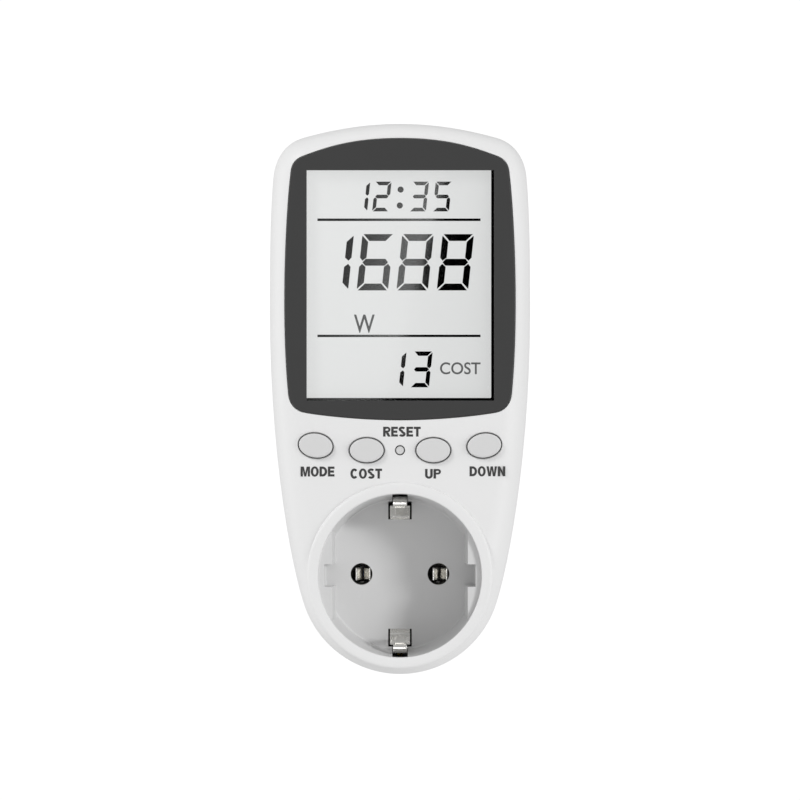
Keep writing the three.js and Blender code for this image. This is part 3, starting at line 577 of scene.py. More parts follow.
# Clear polished sheet: light passes straight through it, and its surface mirrors at a grazing angle.
def clearSheet(name):
    finish = Finish(name)
    coated = 0.3  # the part of a bare sheet's mirroring that the coating leaves
    inner = finish.node("ShaderNodeNewGeometry", output="Backfacing")
    edge = finish.node("ShaderNodeFresnel", {}, {"IOR": 1.49}) * (coated - inner * coated)
    through = finish.node("ShaderNodeBsdfTransparent", {}, {"Color": (0.985, 0.99, 0.988, 1)})
    gloss = finish.node("ShaderNodeBsdfGlossy", {}, {"Roughness": 0.03})
    mix = finish.node("ShaderNodeMixShader", {}, {"Fac": edge, 1: through, 2: gloss})
    finish.feed(finish.tree.nodes["Material Output"].inputs["Surface"], mix)
    finish.tree.nodes.remove(finish.shader)
    return finish.material


# Printed ink or the display's dark segments: nearly flat, with uneven coverage at its edges.
def ink(name, colour, roughness=0.5, unevenness=0.003, index=1.45):
    finish = Finish(name, IOR=index)
    cover = finish.noise(2200, detail=4, roughness=0.6)
    tone = finish.blend(cover, tint(colour, 0.9), tint(colour, 1.12))
    return finish.shaderInputs(
        Base_Color=tone, Roughness=roughness * 0.9 + cover * (roughness * 0.2), Normal=finish.bump(cover, unevenness))


# Glossy dipped or shrunk skin: soft ripples and a coat.
def glossySkin(name, colour, roughness=0.25, ripple=0.03):
    finish = Finish(name, IOR=1.5)
    swell = finish.noise(700, detail=3)
    tone = finish.blend(finish.noise(200, detail=4), tint(colour, 0.85), tint(colour, 1.1))
    return finish.shaderInputs(
        Base_Color=tone, Roughness=(roughness - 0.04) + swell * 0.1, Coat_Weight=0.4,
        Normal=finish.bump(swell, ripple))


# Green wire insulation with a yellow stripe.
def stripedInsulation(name, colour, stripe):
    finish = Finish(name, IOR=1.48)
    band = finish.node("ShaderNodeTexWave", {"bands_direction": "DIAGONAL"},
                       {"Vector": finish.place(), "Scale": 60, "Distortion": 0.2})
    mask = finish.ramp(band, [(0.55, (0, 0, 0, 1)), (0.6, (1, 1, 1, 1))])
    return finish.shaderInputs(
        Base_Color=finish.blend(mask, colour, stripe), Roughness=0.45 + finish.noise(900) * 0.12,
        Normal=finish.bump(finish.noise(1500), 0.006))


tones = {
    "white": grey(238),
    # The socket cup's white is a darker copy of the casing's white: painted shade that darkens the recess.
    "socketWhiteShaded": grey(224),
    "button": grey(220),
    "bezel": grey(52),
    "black": grey(18),
    "label": grey(58),
    "ground": grey(132),
    "segment": grey(1),
    "thinInk": grey(96),
    "nickel": (0.86, 0.85, 0.82, 1),
}
finishes = {
    "white_casing": mouldedPlastic("whiteCasing", tones["white"], 0.46),
    "socketPlasticShaded": mouldedPlastic("socketPlasticShaded", tones["socketWhiteShaded"], 0.5),
    "button_plastic": mouldedPlastic("buttonPlastic", tones["button"], 0.42, grain=0.003),
    "bezel_plastic": mouldedPlastic("bezelPlastic", tones["bezel"], 0.5, grain=0.005, variation=0.03),
    "black_plastic": mouldedPlastic("blackPlastic", tones["black"], 0.5, variation=0.05),
    # Near-black glossy holder: the rim of it that shows round the display is painted shade of the window's recess
    # wall.
    "holder": mouldedPlastic("holderPlastic", grey(3), 0.05, grain=0.00005, variation=0.05),
    "clear_window": clearSheet("clearWindow"),
    "display_glass": displayGround("displayGround", tones["ground"]),
    "silicone": mouldedPlastic("siliconeRubber", (0.55, 0.55, 0.58, 1), 0.7, grain=0.01, variation=0.06),
    "board_laminate": boardLaminate("boardLaminate", (0.012, 0.09, 0.035, 1)),
    "nickel_plate": platedMetal("nickelPlate", tones["nickel"], 0.24, lines=0.0006, tarnish=0.07),
    "shunt_metal": platedMetal("shuntMetal", (0.48, 0.28, 0.11, 1), 0.38),
    "screw_steel": platedMetal("screwSteel", (0.42, 0.43, 0.45, 1), 0.34, stretch=(1, 1, 0.1)),
    "chip_plastic": mouldedPlastic("chipPlastic", (0.012, 0.012, 0.014, 1), 0.55, grain=0.01),
    "capacitor_box": mouldedPlastic("capacitorBox", (0.68, 0.45, 0.07, 1), 0.45),
    "green_wrap": glossySkin("greenWrap", (0.03, 0.2, 0.06, 1)),
    "blue_coating": glossySkin("blueCoating", (0.02, 0.08, 0.27, 1), ripple=0.05),
    "capacitor_sleeve": glossySkin("capacitorSleeve", (0.008, 0.009, 0.012, 1), 0.3),
    "brown_insulation": glossySkin("brownInsulation", (0.1, 0.035, 0.015, 1), 0.45, 0.01),
    "blue_insulation": glossySkin("blueInsulation", (0.02, 0.11, 0.4, 1), 0.45, 0.01),
    "earth_insulation": stripedInsulation("earthInsulation", (0.03, 0.27, 0.03, 1), (0.75, 0.55, 0.02, 1)),
    "label": ink("labelInk", tones["label"]),
    "segment": ink("segmentInk", tones["segment"], 0.03, unevenness=0.00002, index=1.7),
    "thinInk": ink("thinInk", tones["thinInk"]),
}


def dress(piece, slotName, body, finish=None):
    piece.data.materials.clear()
    piece.data.materials.append(finishes[finish or slotName])
    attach(piece, body)
    return piece


for node, piece in frame["nodes"].items():
    piece.data.materials.clear()
    piece.data.materials.append(finishes[slotOf[node]])
report("materials")


# The outline's right half: an arc below the ring, a flank, a shoulder, a corner and a shallow top arc.
def casingOutline():
    radius = ringRadius + casing["baseMargin"]
    centre = casing["baseCentre"]
    curves = []
    steps = 3
    sweep = (math.radians(casing["baseArcEnd"]) + math.pi / 2) / steps
    reach = 4 / 3 * math.tan(sweep / 4) * radius
    for k in range(steps):
        a, b = -math.pi / 2 + k * sweep, -math.pi / 2 + (k + 1) * sweep
        start = (radius * math.cos(a), centre + radius * math.sin(a))
        end = (radius * math.cos(b), centre + radius * math.sin(b))
        curves.append(((start[0] - reach * math.sin(a), start[1] + reach * math.cos(a)),
                       (end[0] + reach * math.sin(b), end[1] - reach * math.cos(b)), end))
    top = bodyTop
    widest = top - 45.8
    curves += [
        ((end[0] + 2.907, end[1] + 7.988), (halfWidth, widest - 37), (halfWidth, widest)),
        ((halfWidth, widest + 15), (halfWidth - 0.15, top - 21.3), (halfWidth - 0.85, top - 13.3)),
        ((halfWidth - 1.25, top - 8.7), (halfWidth - 3.55, top - 4.82), (halfWidth - 7.95, top - 3.5)),
        ((16, top - 1.2), (8.05, top), (0, top)),
    ]
    return (0, centre - radius), curves


bezel = {"edge": 0.25, "openingEdge": 0.15}
window = {"left": -22.85, "right": 23.05, "bottom": 42.85, "top": 99.25}


def bezelOutline():
    return (0, 38.15), [
        ((10, 38.15), (20.2, 39.35), (23.6, 40.05)),
        ((25.8, 40.55), (27.0, 42.35), (27.25, 44.35)),
        ((28.0, 52.15), (28.2, 60.15), (28.2, 67.15)),
        ((28.2, 78.15), (27.6, 91.05), (26.65, 98.9)),
        ((26.35, 101.25), (25.15, 102.15), (23.35, 102.8)),
        ((16.0, 105.6), (9.9, 107.0), (0, 107.05)),
    ]


buttons = {
    "wide": 8.3,
    "tall": 5.9,
    "gap": 0.25,
    "holeFlare": 0.22,
    "flange": 0.9,
    "reset": 0.99,
    "resetHole": 1.25,
    "places": {"mode": -8, "cost": 0, "up": 0, "down": 8},  # tilt in degrees
}
cutouts = {  # (left, right), (bottom, top) of the openings round the display
    "opening": ((-23.9, 23.9), (42.15, 100.65)),
    "room": ((-25.75, 25.75), (40.3, 102.5)),
    # The holder's opening sits up and to the left of the window, so a black strip of the holder shows at the right and
    # the bottom: painted shade of the window's recess wall.
    "holderOpening": ((-23.9, 22.35), (43.5, 100.6)),
    "holderPocket": ((-24.8, 24.8), (41.25, 101.55)),
}
caseScrews = [(-14, 105.2), (14, 105.2), (-25.5, 25.25), (25.5, 25.25)]


def ovalCutter(name, place, tilt, front, back, grow, flare=0):
    halfWide, halfTall = buttons["wide"] / 2 + grow, buttons["tall"] / 2 + grow
    profile = [(halfWide, front), (halfWide, back)]
    if flare:
        profile = [(halfWide + flare, front), (halfWide + flare, faceY), (halfWide + flare * 0.3, faceY + flare * 0.7),
                   (halfWide, faceY + flare * 1.6), (halfWide, back)]
    cutter = turned(name, profile, 72, taller=halfTall - halfWide)
    return moved(tilted(cutter, tilt), place.x, 0, place.z)


def cutout(name, front, back, bevel=0):
    sides, ends = cutouts[name]
    return block(name, sides, (front, back), ends, bevel)


# Posts for the case screws, kept within a shell's own form.
def addPosts(shell, form, radius, front, back, vertices):
    for x, z in caseScrews:
        post = rod("post", radius, front, back, x, z, vertices)
        combine(shell, combine(post, copyOf(form, "form"), "INTERSECT"), "UNION")
    bpy.data.objects.remove(form)


def frontShell():
    back = shellHigh.y
    shell = plate("front_casing", casingOutline(), back, faceY, rounding=casing["frontRounding"], segments=12)
    form = copyOf(shell, "form")
    cutAway(shell, plate("hollow", casingOutline(), back + 1, faceInside, inset=casing["wall"],
                         rounding=casing["frontRounding"] - 1.6, segments=5))
    addPosts(shell, form, casing["frontPost"], faceInside - 0.6, back - 0.1, 24)
    cutAway(shell, plate("pocket", bezelOutline(), faceY + 1.2, faceY - 1, grow=0.15),
            cutout("opening", faceY - 1, faceInside + 1),
            cutout("room", faceInside, back + 1),
            rod("bore", ringRadius - 0.12, ringY - 1, ringY + 6.2, vertices=128),
            rod("bore", ringRadius - 0.45, ringY, back + 1, vertices=128))
    for key, tilt in buttons["places"].items():
        place = middle(f"{key}_button")
        hole = ovalCutter("hole", place, tilt, faceY - 1, faceInside + 1, buttons["gap"], buttons["holeFlare"])
        cutAway(shell, hole, ovalCutter("hole", place, tilt, faceInside, faceInside + 6, 1.2))
    reset = middle("reset_button")
    cutAway(shell, rod("hole", buttons["resetHole"], faceY - 1, faceInside + 1, reset.x, reset.z, 40, flare=0.15))
    for x, z in caseScrews:
        cutAway(shell, rod("hole", casing["screwHole"], faceInside + 2, back + 1, x, z, 20))
    return shade(shell)


plugForm = {
    "lip": 2.15,  # of the rear shell, hidden inside the front one
    "drumRadius": 24.2,
    "drumFront": -36,
    "noseFront": -17.5,
    "noseRadius": 18.1,
    "cheek": 16.1,  # from the middle to the flat at each side
    "keyHalf": 2.4,
    "clipHalf": 2.9,
    "clipFrom": 15.9,
    "screwWell": -36.5,
}


def rearShell():
    wall, back = casing["wall"], casing["back"]
    drumRadius, drumFront, noseFront = plugForm["drumRadius"], plugForm["drumFront"], plugForm["noseFront"]
    near = rearLow.y + plugForm["lip"]
    shell = plate("rear_casing", casingOutline(), near, back, rounding=casing["backRounding"], segments=8)
    form = copyOf(shell, "form")
    drum = turned("drum", [(drumRadius, drumFront), (drumRadius, noseFront, 1.7), (20, noseFront)], 128, steps=6)
    noseRadius = plugForm["noseRadius"]
    nose = turned("nose", [(noseRadius + 0.1, noseFront - 1), (noseRadius, 0, 1.3), (15, 0)], 128, steps=6)
    for side in (-1, 1):
        cheek = block("cheek", beside(side, plugForm["cheek"], 20), (noseFront, 1), (-20, 20))
        key = block("key", (-21, 21), (noseFront - 1, 2), (-plugForm["keyHalf"], plugForm["keyHalf"]))
        cutAway(nose, cutAway(cheek, key))
    combine(shell, drum, "UNION")
    combine(shell, nose, "UNION")
    hollow = plate("hollow", casingOutline(), near - 1, back - wall, inset=wall, rounding=2.6, segments=4)
    cutAway(shell, hollow,
            rod("hollow", drumRadius - wall, drumFront - 2, noseFront - wall, vertices=96),
            rod("hollow", 14, noseFront - 4, -2.8, vertices=64))
    addPosts(shell, form, casing["rearPost"], near + 0.05, back - 0.6, 32)
    for x, z in caseScrews:
        cutAway(shell, rod("well", 2.55, plugForm["screwWell"], back + 1, x, z, 40),
                rod("well", 1.35, near - 1, plugForm["screwWell"] + 0.5, x, z, 24))
    across = (-plugForm["clipHalf"], plugForm["clipHalf"])
    for side in (-1, 1):
        cutAway(shell, block("channel", across, (noseFront + 0.6, 1), beside(side, plugForm["clipFrom"], 19.2)),
                block("channel", across, (noseFront + 1.4, noseFront + 3.4), beside(side, 12, 16.9)),
                rod("hole", 2.5, -4, 1, side * pinX, 0, 40))
    cutAway(shell, rod("hole", 2.6, -4, 1, 0, 10, 40))
    softenEdges(shell, 0.12, angle=60)
    return shade(shell)


frontCasing = dress(frontShell(), "white_casing", "housing")
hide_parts("front_shell")
report("front casing")
rearCasing = dress(rearShell(), "white_casing", "housing")
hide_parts("rear_shell")
report("rear casing")


def displayBezel():
    piece = plate("bezel", bezelOutline(), bezelHigh.y, bezelLow.y, rounding=bezel["edge"], segments=3)
    sides, ends = (window["left"], window["right"]), (window["bottom"], window["top"])
    cutAway(piece, block("opening", sides, (bezelLow.y - 1, bezelHigh.y + 1), ends))
    slack = 0.01 * mm
    near = lambda value, places: min(abs(value - place * mm) for place in places) < slack
    within = lambda v: sides[0] * mm - slack < v.co.x < sides[1] * mm + slack and near(v.co.y, [bezelLow.y])
    choose(piece, "EDGE", lambda edge: all(within(v) and (near(v.co.x, sides) or near(v.co.z, ends))
                                           for v in edge.verts))
    bpy.ops.mesh.bevel(offset=bezel["openingEdge"] * mm, segments=3, affect="EDGES")
    bpy.ops.object.mode_set(mode="OBJECT")
    return shade(piece)


def displayHolder():
    low, high = nodeBox("lcd_holder")
    piece = nodeBlock("display_holder", "lcd_holder", 0.3)
    opening = cutout("holderOpening", low.y - 1, high.y + 1, 0.2)
    return shade(cutAway(piece, opening, cutout("holderPocket", low.y + 0.8, high.y + 1)))


dressedBezel = dress(displayBezel(), "bezel_plastic", "housing")
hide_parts("display_bezel")
holder = dress(displayHolder(), "black_plastic", "housing", "holder")
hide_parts("lcd_holder")
lens = dress(shade(nodeBlock("clear_lens", "display_lens", 0.12)), "clear_window", "housing")
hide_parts("display_lens")
panel = dress(shade(nodeBlock("display_panel", "lcd_panel", 0.2)), "display_glass", "housing")
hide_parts("lcd_panel")
report("display frame")


# segments lit for each figure: top, upper right, lower right, bottom, lower left, upper left, middle
figures = {
    "1": "bc", "2": "abged", "3": "abgcd", "5": "afgcd", "6": "afgcde", "8": "abcdefg",
}


# One seven-segment figure as polygons: its cell starts at leftX at its foot, and it leans right.
def figure(digit, leftX, footZ, width, height, stroke, lean):
    w, h, t = width, height, stroke
    half = h / 2
    s = t / 2
    shapes = {
        "a": [(0.16 * t, h), (w - 0.16 * t, h), (w - 1.1 * t, h - t), (1.1 * t, h - t)],
        "d": [(1.1 * t, t), (w - 1.1 * t, t), (w - 0.16 * t, 0), (0.16 * t, 0)],
        "g": [(0.42 * t, half), (0.86 * t, half + s), (w - 0.86 * t, half + s), (w - 0.42 * t, half),
              (w - 0.86 * t, half - s), (0.86 * t, half - s)],
        "b": [(w - 0.04 * t, h - 0.24 * t), (w, h - 0.4 * t), (w, half + 0.68 * t), (w - 0.4 * t, half + 0.22 * t),
              (w - 0.95 * t, half + 0.68 * t), (w - 0.95 * t, h - 1.14 * t)],
        "e": [(0.04 * t, 0.24 * t), (0.95 * t, 1.14 * t), (0.95 * t, half - 0.68 * t), (0.4 * t, half - 0.22 * t),
              (0, half - 0.68 * t), (0, 0.4 * t)],
    }
    shapes["c"] = [(x, h - z) for x, z in reversed(shapes["b"])]
    shapes["f"] = [(x, h - z) for x, z in reversed(shapes["e"])]
    return [[(leftX + x + z * lean, footZ + z) for x, z in shapes[key]] for key in figures[digit]]


def bar(x0, x1, z0, z1):
    return [(x0, z0), (x1, z0), (x1, z1), (x0, z1)]


def dot(x, z, radius):
    return [(x + radius * math.cos(tau * k / 20), z + radius * math.sin(tau * k / 20)) for k in range(20)]


readings = {
    "depth": 0.03,
    "lean": 0.105,
    "clock": {"foot": 89.25, "height": 7.3, "width": 4.0, "stroke": 0.9,
              "figures": [("1", -12.05), ("2", -6.83), ("3", 2.35), ("5", 8.0)]},
    "power": {"foot": 69.87, "height": 13.81, "width": 7.7, "stroke": 1.68,
              "figures": [("1", -20.43), ("6", -10.65), ("8", -0.88), ("8", 9.0)]},
    "cost": {"foot": 46.11, "height": 8.8, "width": 4.6, "stroke": 1.08,
             "figures": [("1", -3.9), ("3", 2.5)]},
    "dots": [(0.15, 94.6), (-0.05, 90.7)],
    "dotRadius": 0.76,
    "bars": [(86.89, 87.51), (58.42, 59.02)],
    "barSides": (-20.25, 19.75),
    "words": [
        ("display_watt_sign", "W", (-8.75, 61.7), 5.1, 4.5, 0.01),
        ("display_cost_word", "COST", (14.78, 50.77), 9.94, 2.96, 0.012),
    ],
}


def displayReadings():
    y = nodeBox("lcd_panel")[0].y
    shapes = []
    for key in ("clock", "power", "cost"):
        row = readings[key]
        for digit, left in row["figures"]:
            shapes += figure(digit, left, row["foot"], row["width"], row["height"], row["stroke"],
                             readings["lean"])
    shapes += [dot(x, z, readings["dotRadius"]) for x, z in readings["dots"]]
    shapes += [bar(*readings["barSides"], low, high) for low, high in readings["bars"]]
    segments = flatShapes("display_segments", shapes, y, readings["depth"])
    dress(segments, "display_glass", "housing", "segment")
    for name, words, centre, width, height, weight in readings["words"]:
        piece = lettering(name, words, centre, width, height, y, readings["depth"], weight)
        dress(piece, "display_glass", "housing", "thinInk")


displayReadings()
report("display readings")


def buttonCap(name, back):
    wide, tall = buttons["wide"] / 2, buttons["tall"] / 2
    front = nodeBox(f"{name}_button")[0].y
    foot = nodeBox(f"{name}_button")[1].y
    edge = wide - 0.02
    flange = buttons["flange"]
    profile = [
        (edge - 0.5, front), (edge - 0.26, front + 0.05), (edge - 0.1, front + 0.18), (edge - 0.02, front + 0.36),
        (edge, front + 0.6), (edge, back), (edge + flange, back), (edge + flange, back + 0.9),
        (edge - 0.6, back + 0.9), (edge - 1.4, back + 1.2), (edge - 1.7, foot),
    ]
    return turned(f"{name}_cap", profile, 96, taller=tall - wide)


def addButtons():
    for name, tilt in buttons["places"].items():
        place = middle(f"{name}_button")
        cap = moved(tilted(buttonCap(name, faceInside + 0.1), tilt), place.x, 0, place.z)
        dress(shade(cap, 40), "button_plastic", f"{name}_key")
        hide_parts(f"{name}_button")
    low, high = nodeBox("reset_button")
    place = middle("reset_button")
    radius, back = buttons["reset"], faceInside + 0.1
    cap = turned("reset_cap", [(0.4, low.y + 0.04), (0.6, low.y), (radius, low.y, 0.2), (radius, back),
                               (high.x, back, 0.1), (high.x, high.y, 0.1), (0.5, high.y)], 48, place.x, place.z)
    dress(shade(cap, 40), "button_plastic", "reset_key")
    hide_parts("reset_button")


labels = {
    "thickness": 0.04,
    "stroke": 0.225,  # of a letter's height
    "space": 0.075,
    "words": [
        ("label_reset", "RESET", (0.47, 35.25), 9.2, 2.4),
        ("label_mode", "MODE", (-20.18, 25.49), 8.28, 2.42),
        ("label_cost", "COST", (-8.27, 24.98), 7.74, 2.42),
        ("label_up", "UP", (8.08, 24.95), 3.88, 2.34),
        ("label_down", "DOWN", (21.4, 25.55), 8.75, 2.42),
    ],
}


# The outline of a stroke of even thickness along a line of points.
def stroke(points, thickness):
    line = [Vector(point) for point in points]
    left, right = [], []
    for i, here in enumerate(line):
        ahead = (line[min(i + 1, len(line) - 1)] - line[max(i - 1, 0)]).normalized()
        side = Vector((-ahead.y, ahead.x)) * thickness / 2
        left.append(here + side)
        right.append(here - side)
    return [tuple(point) for point in left + right[::-1]]


def arc(x, z, wide, tall, start, end, steps=14):
    angles = [math.radians(start + (end - start) * k / steps) for k in range(steps + 1)]
    return [(x + wide * math.cos(a), z + tall * math.sin(a)) for a in angles]


# A bold letter of height 1: its width, and the polygons that fill it. A polygon inside another is a hole.
def letter(sign, s):
    h = s / 2
    if sign == "E":
        w = 0.62
        return w, [[(0, 0), (w, 0), (w, s), (s, s), (s, 0.5 - h), (w - 0.05, 0.5 - h), (w - 0.05, 0.5 + h),
                    (s, 0.5 + h), (s, 1 - s), (w, 1 - s), (w, 1), (0, 1)]]
    if sign == "T":
        w = 0.64
        m = w / 2
        return w, [[(m - h, 0), (m + h, 0), (m + h, 1 - s), (w, 1 - s), (w, 1), (0, 1), (0, 1 - s), (m - h, 1 - s)]]
    if sign == "N":
        w = 0.72
        return w, [[(0, 0), (s, 0), (s, 0.62), (w - s, 0), (w, 0), (w, 1), (w - s, 1), (w - s, 0.38), (s, 1), (0, 1)]]
    if sign == "M":
        w = 0.88
        m = w / 2
        return w, [[(0, 0), (s * 0.9, 0), (s * 0.9, 0.74), (m - s * 0.42, 0), (m + s * 0.42, 0), (w - s * 0.9, 0.74),
                    (w - s * 0.9, 0), (w, 0), (w, 1), (w - s * 1.35, 1), (m, 0.33), (s * 1.35, 1), (0, 1)]]
    if sign == "W":
        w = 1.02
        a, m, b = w * 0.18, w / 2, w * 0.82
        return w, [[(0, 1), (a, 0), (a + s, 0), (m, 0.7), (b - s, 0), (b, 0), (w, 1), (w - s, 1),
                    (b - s * 0.5, 0.34), (m + h, 1), (m - h, 1), (a + s * 0.5, 0.34), (s, 1)]]
    if sign == "O":
        w = 0.76
        return w, [arc(w / 2, 0.5, w / 2, 0.52, 0, 354, 30), arc(w / 2, 0.5, w / 2 - s, 0.52 - s * 0.9, 0, 354, 30)]
    if sign == "C":
        w = 0.74
        return w, [stroke(arc(w / 2, 0.5, w / 2 - h, 0.52 - h, 42, 318, 24), s)]
    if sign == "U":
        w = 0.7
        return w, [stroke([(h, 1), (h, 0.36)] + arc(w / 2, 0.34, w / 2 - h, 0.36 - h, 180, 360)
                          + [(w - h, 0.36), (w - h, 1)], s)]
    if sign == "D":
        w = 0.72
        return w, [[(0, 0)] + arc(w * 0.42, 0.5, w * 0.58, 0.5, -90, 90) + [(0, 1)],
                   [(s, s)] + arc(w * 0.42, 0.5, w * 0.58 - s, 0.5 - s, -90, 90) + [(s, 1 - s)]]
    if sign in "PR":
        w = 0.68
        bowl = 0.29
        high = 1 - bowl
        polygons = [[(0, 0), (s, 0), (s, high - bowl)] + arc(w - bowl, high, bowl, bowl, -90, 90) + [(0, 1)],
                    [(s, 1 - s)] + arc(w - bowl, high, bowl - s * 0.85, bowl - s * 0.85, 90, -90)
                    + [(s, high - bowl + s * 0.85)]]
        if sign == "R":
            foot = high - bowl - 0.006
            polygons.append([(w - bowl - s * 0.75, foot), (w - s, 0), (w + 0.02, 0), (w - bowl + s * 0.5, foot)])
        return w, polygons
    w = 0.66
    upper = arc(w / 2, 0.745, w / 2 - h, 0.275 - h, 25, 270, 18)
    lower = arc(w / 2, 0.255, w / 2 - h, 0.275 - h, 90, -155, 18)
    return w, [stroke(upper[:-1] + [(w / 2, 0.5)] + lower[1:], s)]


# A bold word of a given width and height about a middle.
def printedWord(name, word, centre, width, height):
    cells = [letter(sign, labels["stroke"]) for sign in word]
    total = sum(w for w, polygons in cells) + labels["space"] * (len(cells) - 1)
    across = width / total
    x = centre[0] - width / 2
    shapes = []
    for w, polygons in cells:
        shapes += [[(x + px * across, centre[1] + (pz - 0.5) * height) for px, pz in polygon] for polygon in polygons]
        x += (w + labels["space"]) * across
    return flatShapes(name, shapes, faceY, labels["thickness"])


addButtons()
for name, words, centre, width, height in labels["words"]:
    label = printedWord(name, words, centre, width, height)
    dress(label, "bezel_plastic", "housing", "label")
report("buttons and labels")


socket = {
    "mouth": 20.0,
    "floor": 18.6,
    "floorY": -40.0,
    "floorBack": -37.5,
    "flat": 16.6,
    "flatLean": 0.8,
    "ledge": 1.4,
    "key": 18.5,
    "keyHalf": 2.75,
    "holes": 2.7,
    "clearance": 0.65,  # from the ring's outside to the cup
    "slotHalf": 2.9,
    "slotFrom": 13.5,
    "holderRadius": 4.6,
    "holderBore": 3.5,
    "holderBack": -28.5,
}


def socketCup():
    mouth, floor, floorY, back = (socket[key] for key in ("mouth", "floor", "floorY", "floorBack"))
    outside = ringRadius - socket["clearance"]
    front = ringY + 0.5
    cup = turned("socket", [(mouth - 1, front), (outside, front), (outside, back), (5, back)], 144, steps=5)
    recess = turned("recess", [(mouth, ringY - 1), (mouth, front), (floor, floorY, 0.5), (floor - 3, floorY)],
                    144, steps=4)
    for side in (-1, 1):
        flat = block("flat", beside(side, socket["flat"], 21), (ringY + socket["ledge"], back), (-21, 21))
        choose(flat, "VERT", lambda v: abs(v.co.x) < 17 * mm and v.co.y > -50 * mm)
        bpy.ops.transform.translate(value=(-side * socket["flatLean"] * mm, 0, 0))
        bpy.ops.object.mode_set(mode="OBJECT")
        cutAway(flat, block("keyWay", (-socket["key"], socket["key"]), (ringY, back + 1),
                            (-socket["keyHalf"], socket["keyHalf"])))
        cutAway(recess, flat)
    softenEdges(recess, 0.13, angle=50, segments=3)
    cutAway(cup, recess)
    depth = (ringY + 1.2, back + 1)
    for side in (-1, 1):
        for half, end in ((socket["slotHalf"], 17.9), (socket["slotHalf"] - 1, 21.2)):
            cutAway(cup, block("slot", (-half, half), depth, beside(side, socket["slotFrom"], end)))
        cutAway(cup, rod("pinHole", socket["holes"], floorY - 1, back + 1, side * pinX, 0, 64))
        tube = rod("holder", socket["holderRadius"], back - 0.5, socket["holderBack"], side * pinX, 0, 48)
        cutAway(tube, rod("bore", socket["holderBore"], back - 1, socket["holderBack"] + 0.5, side * pinX, 0, 48))
        combine(cup, tube, "UNION")
    return shade(cup)


# The raised ring round the recess's mouth, rounded on both of its front edges.
def socketRing():
    r, mouth = ringRadius, socket["mouth"]
    return shade(turned("socket_ring", [
        (mouth, ringY + 0.62), (mouth + 0.04, ringY + 0.3), (mouth + 0.18, ringY + 0.1), (mouth + 0.5, ringY),
        (r, ringY, 0.95), (r, faceY), (r - 0.17, faceY), (r - 0.17, ringY + 6), (r - 0.62, ringY + 6),
        (r - 0.62, ringY + 0.62), (mouth, ringY + 0.62),
    ], 144, steps=6, closed=True))


contact = {"outside": 3.3, "mouth": 2.68, "bore": 2.1, "tail": 2.6, "slitHalf": 0.45, "leafWidth": 3.1}


# A contact sleeve with a flared mouth and a slit, and inside it two sprung leaves that meet the pin.
def contactSleeve(name, x):
    low, high = nodeBox("live_contact")
    outside, mouth, bore, tail = (contact[key] for key in ("outside", "mouth", "bore", "tail"))
    piece = turned(name, [(mouth, low.y), (outside, low.y, 0.15), (outside, high.y, 0.3), (tail, high.y),
                          (tail, high.y - 1.2), (bore, high.y - 1.2), (bore, low.y + 1.5), (mouth, low.y)],
                   48, closed=True)
    half = contact["slitHalf"]
    cutAway(piece, block("slit", (-half, half), (low.y + 2, high.y - 3), (-4, 4)))
    softenEdges(piece, 0.06, angle=50)
    front = socket["floorY"] + 0.9
    lines = [[(front, -1.35), (front + 1.2, -0.7), (front + 4.2, 0.2), (front + 7, 0.1)],
             [(front - 0.2, 2.1), (front + 1.0, 1.7), (front + 3.4, 0.62), (front + 7, 0.8)]]
    strips = [bentStrip("leaf", line, contact["leafWidth"], thickness=0.3, bend=0.5) for line in lines]
    leaves = [tilted(strip, -90) for strip in strips]
    return moved(shade(merge(name, piece, *leaves)), x)


# The cup takes the darker copy of the casing's white: painted shade for the recess.
cup = dress(socketCup(), "white_casing", "housing", "socketPlasticShaded")
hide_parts("socket_cup")
ring = dress(socketRing(), "white_casing", "housing")
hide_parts("socket_cup")
report("socket cup")
sleeves = []
for name, side in (("live_contact", 1), ("neutral_contact", -1)):
    sleeve = dress(contactSleeve(f"{name}_sleeve", side * pinX), "nickel_plate", "housing")
    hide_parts(name)
    sleeves.append(sleeve)


earthSpring = {"foot": 16.7, "strap": -35.9, "width": 4.9, "thickness": 0.5, "lip": 3.4, "tongue": 2.6}


# An earth contact: a sprung strip, a raised tongue down its middle with a dimple, and a lip that curls over.
def earthContact():
    strap, foot = earthSpring["strap"], earthSpring["foot"]
    floor = socket["floorY"]
    line = [(strap, foot - 2), (strap, foot), (floor, foot - 0.3), (floor - 6, foot - 2), (floor - 8.5, foot - 2.2),
            (floor - 11.4, foot + 0.2)]
    strip = bentStrip("strip", line, earthSpring["width"], earthSpring["thickness"])
    lip = bentStrip("lip", [(floor - 11.1, foot - 0.1), (floor - 12.3, foot + 0.9), (floor - 11.8, foot + 1.9),
                            (floor - 8.6, foot + 2.3)], earthSpring["lip"], 0.45, 0.5)
    tongue = bentStrip("tongue", [(y - 0.25, z - 0.22) for y, z in line[3:6]], earthSpring["tongue"], 0.3)
    slope = math.atan2(line[5][1] - line[4][1], line[4][0] - line[5][0])
    bpy.ops.mesh.primitive_uv_sphere_add(segments=28, ring_count=16, radius=1.0 * mm,
                                         location=(0, (floor - 9.6) * mm, (foot - 1.35) * mm),
                                         rotation=(math.pi / 2 + slope, 0, 0), scale=(0.95, 1.25, 0.42))
    dimple = settle(named("dimple"))
    return shade(merge("upper_earth_spring", strip, lip, tongue, dimple), 40)


upperSpring = earthContact()
lowerSpring = mirroredCopy(upperSpring, "lower_earth_spring", "Z")
for spring, node in ((upperSpring, "upper_earth_contact"), (lowerSpring, "lower_earth_contact")):
    dress(spring, "nickel_plate", "housing")
    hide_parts(node)
report("socket contacts")


plug = {"tail": 1.5, "collar": 3.4, "collarBack": -2.9, "pin": 2.4, "clipWidth": 5.2, "clipThickness": 0.6}


